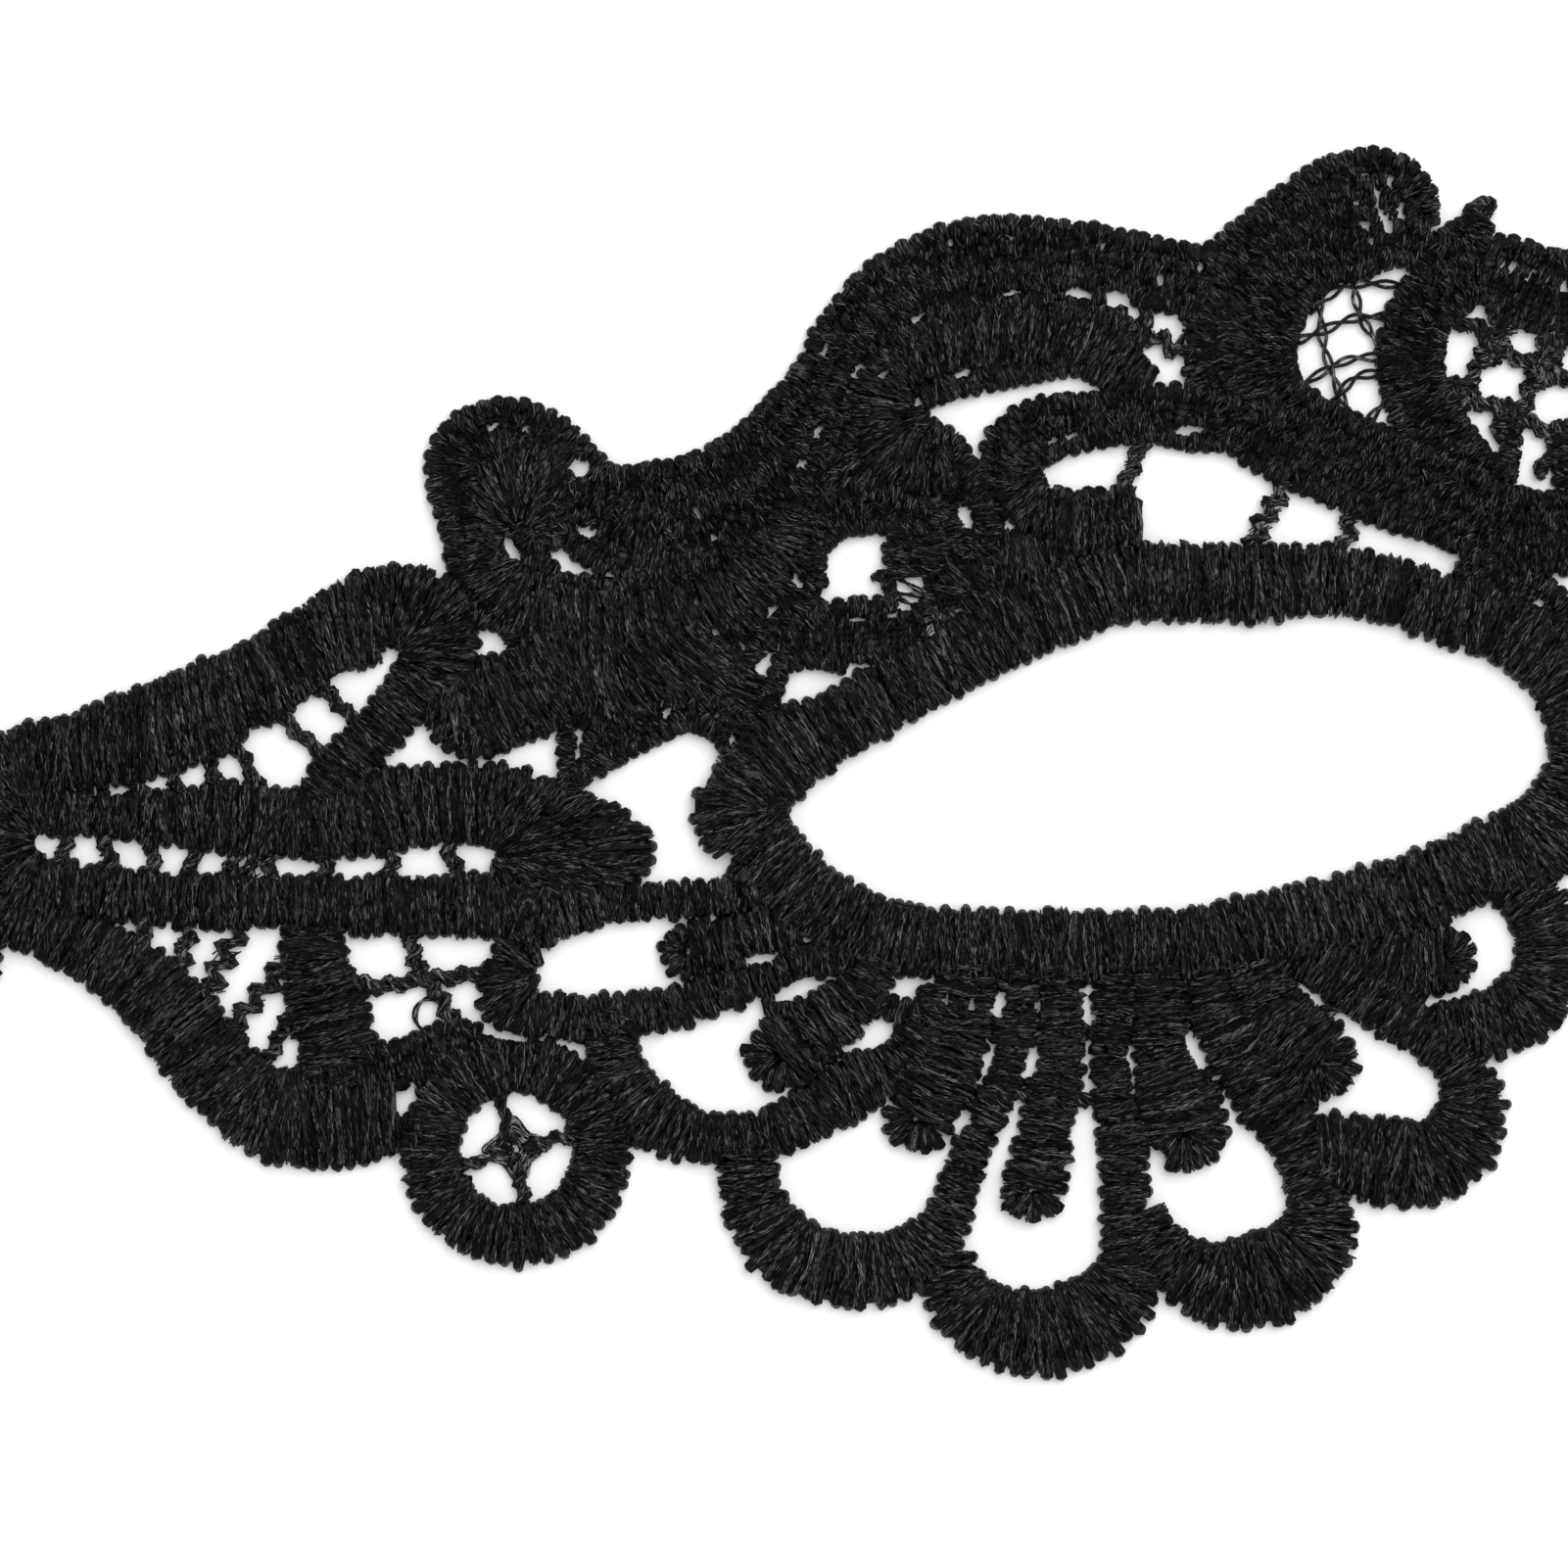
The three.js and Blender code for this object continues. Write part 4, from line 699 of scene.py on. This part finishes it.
def layTop(piece, line, level, look, lean=0):  # short threads on top, in bunches that share a direction
    total, bunch = line["at"][-1], look["bunch"]
    count = max(1, int(total * line["width"].mean() * look["density"] / bunch))
    at = rng.uniform(0, total, count)
    if "pitch" in look:  # they keep to the thread below, so the grooves stay open
        stitches = max(1, int(round(total / look["pitch"])))
        at = (np.floor(at / total * stitches) + 0.5) * total / stitches + rng.normal(0, look["apart"], count)
    c = rng.uniform(-0.5, 0.5, count)
    if line.get("fan"):  # threads crowd less towards the pivot
        inner, outer = [np.linalg.norm(np.gradient(line[name], line["at"], axis=0), axis=1)
                        for name in ("right", "left")]
        inner, outer = np.interp(at, line["at"], inner), np.interp(at, line["at"], outer)
        share = (inner + (outer - inner) * (c + 0.5)) / np.maximum(inner, outer).max()
        keep = rng.uniform(0, 1, count) < share
        at, c = at[keep], c[keep]
    count = len(at) * bunch
    number = np.tile(np.arange(bunch) - (bunch - 1) / 2, len(at))
    at, c = np.repeat(at, bunch), np.repeat(c, bunch)
    turns = np.repeat(rng.normal(0, look["spread"], len(at) // bunch), bunch)
    turns = np.radians(turns + rng.normal(look.get("tilt", 0), shortThread["turn"], count))
    slide = math.tan(math.radians(lean)) * np.interp(at, line["at"], line["width"]) / 2
    left, right = sample(line, "left", at + slide), sample(line, "right", at - slide)
    reach = np.linalg.norm(left - right, axis=1)
    size = look["length"] * rng.uniform(*shortThread["lengths"], count)
    size = np.minimum(size, reach * shortThread["longest"])
    room = (reach - size) / 2 / np.maximum(reach, 0.01) - look["clear"] / np.maximum(reach, 0.01)
    room = np.maximum(room, 0)
    c = np.clip(c, -room, room)
    x, y = unit(left - right).T
    away = np.stack([x * np.cos(turns) - y * np.sin(turns), x * np.sin(turns) + y * np.cos(turns)], 1)
    beside = np.stack([-away[:, 1], away[:, 0]], 1)
    centre = (left + right) / 2 + (left - right) * c[:, None]
    centre = centre + beside * (number * look["radius"] * shortThread["beside"])[:, None]
    centre = centre + away * rng.normal(0, look["length"] * shortThread["slip"], count)[:, None]
    half = away * (size / 2)[:, None]
    top = level + crown(reach, 2 * c) + look["rise"] + rng.normal(0, shortThread["height"], count)
    radius = look["radius"] * rng.uniform(*shortThread["thickness"], count)
    middle = centre + rng.normal(0, shortThread["bow"], (count, 2))
    addStitches(piece, "short", centre + half, middle, centre - half, top, radius)


# Padding: the underlay that keeps the light from coming through, in narrow lanes beside an opening.
# Padding gets few painted highlights: painted shade in the grooves between threads.
padding = {"drop": 0.2, "inset": 0.26, "uneven": 0.04, "step": 0.8, "probes": 9, "clear": 0.5, "slope": 0.15,
           "foot": 0.3, "least": 0.1, "tones": (0, 0.3)}
lane = {"width": 0.45, "step": 0.3, "clear": 0.05, "slope": 0.04}


def runs(flags):
    edges = np.flatnonzero(np.diff(np.concatenate([[0], flags.astype(int), [0]])))
    return [(edges[i], edges[i + 1]) for i in range(0, len(edges), 2)]


def padEdges(line, at, inset):
    left, right = [sample(line, name, np.minimum(at, line["at"][-1] - 1e-6)) for name in ("left", "right")]
    centre, across = (left + right) / 2, unit(left - right)
    half = np.maximum(np.linalg.norm(left - right, axis=1) / 2 - inset, padding["least"])[:, None]
    return centre + across * half, centre - across * half


def padRails(left, right, high, low, slope, top):
    middle, half = (left + right) / 2, (left - right) / 2
    across = [high, high + (low - high) * slope, low - (low - high) * slope, low]
    heights = [padding["foot"], top, top, padding["foot"]]
    return np.stack([np.concatenate([middle + half * r, np.full((len(middle), 1), z)], 1)
                     for r, z in zip(across, heights)], 1)


def layPadding(piece, line, top, inset=padding["inset"]):
    top = top + rng.uniform(-padding["uneven"], padding["uneven"])
    total = line["at"][-1]
    at = np.linspace(0, total, max(2, int(total / padding["step"])) + 1)
    left, right = padEdges(line, at, inset)
    across = np.linspace(0, 1, padding["probes"])[:, None]
    near = inHole(left[:, None] + (right - left)[:, None] * across, padding["clear"]).any(1)
    broad = padRails(left, right, 1, -1, padding["slope"], top)
    if line["closed"] and not near.any():
        addPad(piece, broad[:-1], at[:-1], True, line["side"])
        return
    whole = ~(near[:-1] | near[1:])
    for first, last in runs(whole):
        addPad(piece, broad[first:last + 1], at[first:last + 1], False, line["side"])
    for first, last in runs(~whole):
        fine = np.linspace(at[first], at[last], max(2, int((at[last] - at[first]) / lane["step"])) + 1)
        a, b = padEdges(line, fine, inset)
        lanes = max(1, int(round(np.linalg.norm(a - b, axis=1).mean() / lane["width"])))
        for i in range(lanes):
            high, low = 1 - 2 * i / lanes, 1 - 2 * (i + 1) / lanes
            free = ~inHole((a + b) / 2 + (a - b) / 2 * (high + low) / 2, lane["clear"])
            co = padRails(a, b, high, low, lane["slope"], top)
            for start, end in runs(free[:-1] & free[1:]):
                addPad(piece, co[start:end + 1], fine[start:end + 1], False, line["side"])


def addPad(piece, co, at, closed, side):
    n = len(co)
    wide = gone(co[n // 2])
    wide = np.append(wide, wide[-1] + wide[2])
    faces, uv = [], []
    for i in range(n if closed else n - 1):
        j = (i + 1) % n
        ahead = at[j] if j else at[i] + at[1] - at[0]
        for k in range(4):
            faces.append([4 * i + k, 4 * j + k, 4 * j + (k + 1) % 4, 4 * i + (k + 1) % 4])
            uv.append([[wide[k], at[i]], [wide[k], ahead], [wide[k + 1], ahead], [wide[k + 1], at[i]]])
    if not closed:
        faces += [[3, 2, 1, 0], [4 * n - 4, 4 * n - 3, 4 * n - 2, 4 * n - 1]]
        uv += [[[0, 0]] * 4] * 2
    if side < 0:
        faces, uv = [f[::-1] for f in faces], [u[::-1] for u in uv]
    tone = np.full(4 * n, rng.uniform(*padding["tones"]))
    addPart(piece, co, np.array(faces), [4] * len(faces), np.array(uv, float), tone)


# Ribbed bands: rows of short bent stitches, with bundles turned over both edges.
ribStitch = {"form": "bent", "radius": 0.25, "foot": 0.4, "pitch": 0.9, "strands": 2, "overshoot": -0.15,
             "cross": 0.2, "tones": (0, 1), "back": True}
ribRow = {"width": 1.5, "innerDrop": 0.14, "outerDrop": 0.26, "uneven": 0.03, "lean": 12, "padDrop": 0.3,
          "padInset": 0.2}
# The turned knobs at the edges get fewer painted highlights: painted shade where the thread turns down.
ribTurn = {"drop": 0.28, "foot": 0.35, "length": 1.2, "lengths": (0.8, 1.2), "longest": 0.8, "knob": 0.04,
           "knobs": 0.06, "uneven": 0.08, "cross": 0.35, "height": 0.05, "sway": 0.03, "bob": 0.03,
           "tones": (0, 0.7)}
ribTop = {"radius": 0.1, "length": 0.75, "density": 3.85, "spread": 18, "rise": 0.1, "bunch": 3, "clear": 0.1,
          "pitch": 0.51, "apart": 0.15}


def layTurns(piece, line, name, level):
    count, step, at = evenly(line, ribStitch["pitch"])
    at = at + rng.normal(0, ribTurn["uneven"], count)
    edge = sample(line, name, at)
    other = "right" if name == "left" else "left"
    inward = sample(line, other, at + rng.normal(0, ribTurn["cross"], count)) - edge
    reach = np.minimum(np.linalg.norm(inward, axis=1) * ribTurn["longest"],
                       ribTurn["length"] * rng.uniform(*ribTurn["lengths"], count))
    inner = edge + unit(inward) * reach[:, None]
    outer = edge - unit(inward) * (ribTurn["knob"] + rng.normal(0, ribTurn["knobs"], count))[:, None]
    top = level - ribTurn["drop"] + rng.normal(0, ribTurn["height"], count)
    radius = wideStitch["radius"] * rng.uniform(*handwork["thickness"], count)
    addStitches(piece, "wide", outer, (outer + inner) / 2, inner, top, radius, ribTurn["foot"],
                ribTurn["sway"], ribTurn["bob"], ribTurn["tones"])


# Cords: two pairs of strands wound about each other. Net is of twisted pairs, and a fine thread runs alone.
cordShape = {"step": 0.22, "fewest": 8, "beyond": 0.3, "strands": 4, "pitch": 1.75, "uneven": 0.1,
             "phase": (0.45, 1.2), "broadest": 1.3, "wave": 0.15, "spill": 0.45, "drift": (0.08, 0.9),
             "apart": 0.7, "reach": 0.29, "height": 0.55, "rise": 0.22, "sway": (0.04, 0.5), "radius": 0.21,
             "top": 0.78}
netShape = {"step": 0.3, "twist": 1.5, "phase": (0.5, 1.2), "reach": 0.4, "sway": (0.04, 0.8), "height": 0.5,
            "rise": 0.1, "radius": 0.075, "stout": 0.09}
fineShape = {"sway": (0.03, 0.8), "height": 0.45, "bob": (0.05, 0.7)}
cordTop = {"radius": 0.08, "length": 0.55, "density": 3, "spread": 10, "rise": 0.05, "bunch": 2, "clear": 0.2,
           "tilt": 50}
tubeSides = 4
anyTurn = 6  # radians, where the twist of a cord starts


def wander(at, swing):  # a smooth random swing along a line, of a size and a length
    size, length = swing
    knots = np.arange(at[0] - 2 * length, at[-1] + 3 * length, length)
    return np.interp(at, knots, np.convolve(rng.normal(0, size, len(knots)), [0.3, 0.6, 0.3], "same"))


def addTube(piece, path, radius, tones=(0, 1)):
    across, up = crossFrame(path)
    turns = 2 * math.pi * np.arange(tubeSides) / tubeSides
    cos, sin = np.cos(turns)[None, :, None], np.sin(turns)[None, :, None]
    co = path[:, None] + radius * (across[:, None] * cos + up[:, None] * sin)
    n = len(path)
    i, k = np.meshgrid(np.arange(n - 1), np.arange(tubeSides), indexing="ij")
    m = (k + 1) % tubeSides
    near, far = tubeSides * i, tubeSides * (i + 1)
    quads = np.stack([near + k, far + k, far + m, near + m], -1).reshape(-1, 4)[:, ::-1]
    along = gone(path)
    u = np.stack([along[i], along[i + 1], along[i + 1], along[i]], -1).reshape(-1, 4)[:, ::-1]
    v = np.stack([k, k, k + 1, k + 1], -1).reshape(-1, 4)[:, ::-1] / tubeSides * 2 * math.pi * radius
    caps = [list(range(tubeSides))[::-1], list(range(tubeSides * (n - 1), tubeSides * n))]
    sides = np.stack([u.ravel() + rng.uniform(0, mapStart["along"]), v.ravel()], 1)
    uv = np.concatenate([sides, np.zeros((2 * tubeSides, 2))])
    tone = np.full(tubeSides * n, rng.uniform(*tones))
    addPart(piece, co, np.concatenate([quads.ravel(), np.array(caps).ravel()]),
            [4] * len(quads) + [tubeSides] * 2, uv, tone)


def layCord(stroke, side):
    piece, line = stroke["piece"], bandLine(stroke["stations"], side)
    total = line["at"][-1]
    width = float(np.mean(line["width"]))
    shape = netShape if stroke.get("net") else cordShape
    count = max(cordShape["fewest"], int(total / shape["step"]))
    at = np.linspace(-cordShape["beyond"], total + cordShape["beyond"], count)
    ahead = unit(np.gradient(line["middle"], axis=0))
    middle = sample(line, "middle", at)
    middle = middle + ahead[:1] * np.minimum(at, 0)[:, None] + ahead[-1:] * np.maximum(at - total, 0)[:, None]
    leftward = unit(np.stack([np.interp(at, line["at"], line["leftward"][:, k]) for k in (0, 1)], 1))

    def tube(out, z, radius, *tones):
        addTube(piece, np.concatenate([middle + leftward * out[:, None], z[:, None]], 1), radius, *tones)

    if "thin" in stroke:
        out = wander(at, fineShape["sway"])
        tube(out, fineShape["height"] + wander(at, fineShape["bob"]), stroke["thin"], (stroke["tone"],) * 2)
    elif stroke.get("net"):
        phase = at * shape["twist"] + rng.uniform(0, anyTurn) + wander(at, shape["phase"])
        for sign in (1, -1):
            out = sign * shape["reach"] * width * np.cos(phase) + wander(at, shape["sway"])
            tube(out, shape["height"] + sign * shape["rise"] * np.sin(phase),
                 shape["radius"] + shape["stout"] * width)
    else:
        pitch = shape["pitch"] * (1 + shape["uneven"] * rng.normal())
        phase = 2 * math.pi * at / pitch + rng.uniform(0, anyTurn) + wander(at, shape["phase"])
        core = min(width, shape["broadest"])
        swing = shape["wave"] * min(width, 1) + (width - core) * shape["spill"]
        zigzag = np.cos(phase) * swing + wander(at, shape["drift"])  # the cord lies in a wave
        for i in range(shape["strands"]):
            own = phase + i % 2 * math.pi + i // 2 * shape["apart"]
            out = zigzag + np.cos(own) * shape["reach"] * core + wander(at, shape["sway"])
            tube(out, shape["height"] + np.sin(own) * shape["rise"] + wander(at, shape["sway"]),
                 shape["radius"] * core ** 0.5)
        layTop(piece, line, shape["top"], cordTop)


def layFan(stroke, side):
    piece, level = stroke["piece"], stroke["level"]
    line = fanLine(stroke["pivot"], stroke["rays"], side)
    for part in fanRings(line):
        laySatin(piece, part, level, fanShape["pitch"])
    layTop(piece, line, level, fanTop)
    layPadding(piece, line, level - padding["drop"])


def laySatinBand(stroke, side):
    piece, level, lean = stroke["piece"], stroke["level"], stroke.get("lean", 0)
    line = bandLine(stroke["stations"], side, stroke.get("closed", False))
    layPadding(piece, line, level - padding["drop"])
    laySatin(piece, line, level, wideStitch["pitch"], lean, stroke.get("loose", 0))
    layTop(piece, line, level, topThread, lean)
    if stroke.get("rounded"):
        cap = capLine(line)
        layPadding(piece, cap, level - padding["drop"])
        laySatin(piece, cap, level, capShape["pitch"])
        layTop(piece, cap, level, capTop)


def layRibBand(stroke, side):
    piece, level, lean = stroke["piece"], stroke["level"], stroke.get("lean", 0)
    line = bandLine(stroke["stations"], side)
    rows = max(1, int(round(line["width"].mean() / ribRow["width"])))
    for j in range(rows):
        drop = ribRow["outerDrop"] if j in (0, rows - 1) and rows > 1 else ribRow["innerDrop"]
        height = level - drop + rng.normal(0, ribRow["uneven"])
        layBand(piece, rowLine(line, j, rows), height, ribStitch, ribStitch["pitch"],
                rng.uniform(-ribRow["lean"], ribRow["lean"]))
    for name in ("left", "right"):
        layTurns(piece, line, name, level)
    layPadding(piece, line, level - ribRow["padDrop"], ribRow["padInset"])
    layTop(piece, line, level, ribTop, lean)


lay = {"satin": laySatinBand, "rib": layRibBand, "fan": layFan, "cord": layCord}
for side in (1, -1):
    for stroke in strokes:
        lay[stroke["kind"]](stroke, side)
print("threads laid in", len(pieces), "pieces")

# Meshes and the one material, black rayon thread, with painted highlights in its base colour.
tableTop = 0.01  # mm, nothing reaches through the table
# dark is the thread's own black; glintPaint is a painted highlight colour, mixed into the base colour on a
# few filaments
blackRayon = {"dark": (0.0022, 0.0022, 0.0023), "glintPaint": (0.45, 0.45, 0.463), "glintFrom": 0.51,
              "filaments": {"Width": 0.11, "Length": 0.4, "Twist": 0.2}, "uneven": 0.6, "rough": (0.3, 0.5),
              "bump": 1.0, "bumpDepth": 0.00012, "specular": 0.13}


def makeMesh(name, parts):
    joined = {key: np.concatenate([part[key] for part in parts]) for key in ("co", "sizes", "uv", "tone")}
    offsets = np.cumsum([0] + [len(part["co"]) for part in parts])
    loops = np.concatenate([part["loops"] + offset for part, offset in zip(parts, offsets)])
    co, sizes = joined["co"] * mm, joined["sizes"]
    co[:, 2] = np.maximum(co[:, 2], tableTop * mm)
    mesh = bpy.data.meshes.new(name)
    mesh.vertices.add(len(co))
    mesh.vertices.foreach_set("co", co.astype(np.float32).ravel())
    mesh.loops.add(len(loops))
    mesh.loops.foreach_set("vertex_index", loops.astype(np.int32))
    mesh.polygons.add(len(sizes))
    mesh.polygons.foreach_set("loop_start", (np.cumsum(sizes) - sizes).astype(np.int32))
    mesh.polygons.foreach_set("loop_total", sizes.astype(np.int32))
    mesh.update(calc_edges=True)
    mesh.uv_layers.new(name="thread").data.foreach_set("uv", joined["uv"].astype(np.float32).ravel())
    mesh.polygons.foreach_set("use_smooth", np.ones(len(sizes), bool))
    # per point, the share of painted highlight a thread gets: random from thread to thread, and lowered where
    # painted shade falls
    tone = mesh.attributes.new("tone", "FLOAT", "POINT")
    tone.data.foreach_set("value", joined["tone"].astype(np.float32))
    mesh.validate()
    piece = bpy.data.objects.new(name, mesh)
    bpy.context.scene.collection.objects.link(piece)
    print(name, "triangles", int((sizes - 2).sum()))
    return piece


def setInputs(node, values):
    for name, value in values.items():
        node.inputs[name].default_value = value


def calc(tree, operation, a, b):
    node = tree.nodes.new("ShaderNodeMath")
    node.operation = operation
    for socket, value in zip(node.inputs, (a, b)):
        if isinstance(value, (int, float)):
            socket.default_value = value
        else:
            tree.links.new(value, socket)
    return node.outputs[0]


def makeFilamentGroup():  # fine filaments that come and go along a thread; the map is in millimetres
    group = bpy.data.node_groups.new("filaments", "ShaderNodeTree")
    for name, value in blackRayon["filaments"].items():
        group.interface.new_socket(name, in_out="INPUT", socket_type="NodeSocketFloat").default_value = value
    for name in ("Rise", "Glint", "Body"):
        group.interface.new_socket(name, in_out="OUTPUT", socket_type="NodeSocketFloat")
    nodes, links = group.nodes, group.links
    given, out = nodes.new("NodeGroupInput"), nodes.new("NodeGroupOutput")
    uv = nodes.new("ShaderNodeUVMap")
    uv.uv_map = "thread"
    place = nodes.new("ShaderNodeSeparateXYZ")
    links.new(uv.outputs["UV"], place.inputs[0])
    along, around = place.outputs["X"], place.outputs["Y"]
    twisted = calc(group, "ADD", around, calc(group, "MULTIPLY", along, given.outputs["Twist"]))
    joined = nodes.new("ShaderNodeCombineXYZ")
    links.new(calc(group, "DIVIDE", along, given.outputs["Length"]), joined.inputs[0])
    links.new(calc(group, "DIVIDE", twisted, given.outputs["Width"]), joined.inputs[1])
    cells = nodes.new("ShaderNodeTexVoronoi")
    cells.voronoi_dimensions = "2D"
    cells.inputs["Scale"].default_value = 1.0
    links.new(joined.outputs[0], cells.inputs["Vector"])
    chance = nodes.new("ShaderNodeSeparateColor")
    links.new(cells.outputs["Color"], chance.inputs[0])
    body = calc(group, "SUBTRACT", 1.0, cells.outputs["Distance"])
    links.new(body, out.inputs["Body"])
    uneven = calc(group, "MULTIPLY", chance.outputs["Green"], blackRayon["uneven"])
    links.new(calc(group, "ADD", body, uneven), out.inputs["Rise"])
    links.new(chance.outputs["Red"], out.inputs["Glint"])
    return group


def makeThreadMaterial(name, look, filaments):
    material = bpy.data.materials.new(name)
    material.use_nodes = True
    tree = material.node_tree
    nodes, links = tree.nodes, tree.links
    shader = nodes["Principled BSDF"]
    threads = nodes.new("ShaderNodeGroup")
    threads.node_tree = filaments
    setInputs(threads, look["filaments"])
    # the share of painted highlight, random per thread and lowered for painted shade
    tone = nodes.new("ShaderNodeAttribute")
    tone.attribute_name = "tone"
    paintedGlintMask = nodes.new("ShaderNodeMapRange")  # painted highlight: a few filaments get the light glint colour, as if they caught the light
    paintedGlintMask.interpolation_type = "SMOOTHSTEP"
    setInputs(paintedGlintMask, {"From Min": look["glintFrom"], "From Max": 1.0})
    links.new(threads.outputs["Glint"], paintedGlintMask.inputs["Value"])
    paintedHighlight = calc(tree, "MULTIPLY", paintedGlintMask.outputs["Result"], tone.outputs["Fac"])
    paintedHighlight = calc(tree, "MULTIPLY", paintedHighlight, threads.outputs["Body"])
    # painted highlight: the base colour turns light on the chosen filaments
    colour = nodes.new("ShaderNodeMix")
    colour.data_type = "RGBA"
    setInputs(colour, {"A": (*look["dark"], 1), "B": (*look["glintPaint"], 1)})
    links.new(paintedHighlight, colour.inputs["Factor"])
    links.new(colour.outputs["Result"], shader.inputs["Base Color"])
    rough = nodes.new("ShaderNodeMapRange")
    setInputs(rough, {"To Min": look["rough"][0], "To Max": look["rough"][1]})
    links.new(threads.outputs["Glint"], rough.inputs["Value"])
    links.new(rough.outputs["Result"], shader.inputs["Roughness"])
    bump = nodes.new("ShaderNodeBump")
    setInputs(bump, {"Strength": look["bump"], "Distance": look["bumpDepth"]})
    links.new(threads.outputs["Rise"], bump.inputs["Height"])
    links.new(bump.outputs["Normal"], shader.inputs["Normal"])
    shader.inputs["Specular IOR Level"].default_value = look["specular"]
    return material


blackThread = makeThreadMaterial("blackRayon", blackRayon, makeFilamentGroup())
for name, parts in pieces.items():
    piece = makeMesh(name, parts)
    piece.data.materials.append(blackThread)
    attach(piece, "root")
    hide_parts("lace")
print("pieces made and dressed in black thread")

# White table, soft light and camera.
whiteTable = {"size": 3, "colour": (0.9, 0.9, 0.9, 1), "rough": 0.8}
sky = {"colour": (1, 1, 1, 1), "strength": 0.8}
lamp = {"x": 0.22, "y": 0.2, "z": 0.6, "size": 0.6, "power": 3.35}
view = {"x": 53.37, "y": 53.3, "span": 106.73, "lens": 120, "sensor": 36, "clip": 0.01}

bpy.ops.object.select_all(action="DESELECT")
bpy.ops.mesh.primitive_plane_add(size=whiteTable["size"], location=(0, 0, 0))
table = bpy.context.object
table.name = "table"
white = bpy.data.materials.new("whiteTable")
white.use_nodes = True
setInputs(white.node_tree.nodes["Principled BSDF"],
          {"Base Color": whiteTable["colour"], "Roughness": whiteTable["rough"]})
table.data.materials.append(white)

world = bpy.context.scene.world or bpy.data.worlds.new("World")
bpy.context.scene.world = world
world.use_nodes = True
setInputs(world.node_tree.nodes["Background"], {"Color": sky["colour"], "Strength": sky["strength"]})

centre = placed(np.array([[view["x"], view["y"]]]), 1)[0] * mm
bpy.ops.object.light_add(type="AREA", location=(centre[0] + lamp["x"], centre[1] + lamp["y"], lamp["z"]))
softBox = bpy.context.object
softBox.data.size = lamp["size"]
softBox.data.energy = lamp["power"]
towards = softBox.location - Vector((centre[0], centre[1], 0))
softBox.rotation_euler = towards.to_track_quat("Z", "Y").to_euler()

camera = bpy.data.objects.new("camera", bpy.data.cameras.new("camera"))
bpy.context.scene.collection.objects.link(camera)
camera.data.lens = view["lens"]
camera.data.sensor_width = view["sensor"]
camera.data.clip_start = view["clip"]
camera.location = (centre[0], centre[1], view["span"] * mm * view["lens"] / view["sensor"])
camera.rotation_euler = (0, 0, -tilt)
bpy.context.scene.camera = camera
bpy.context.scene.view_settings.view_transform = "Standard"
print("table, light and camera set")
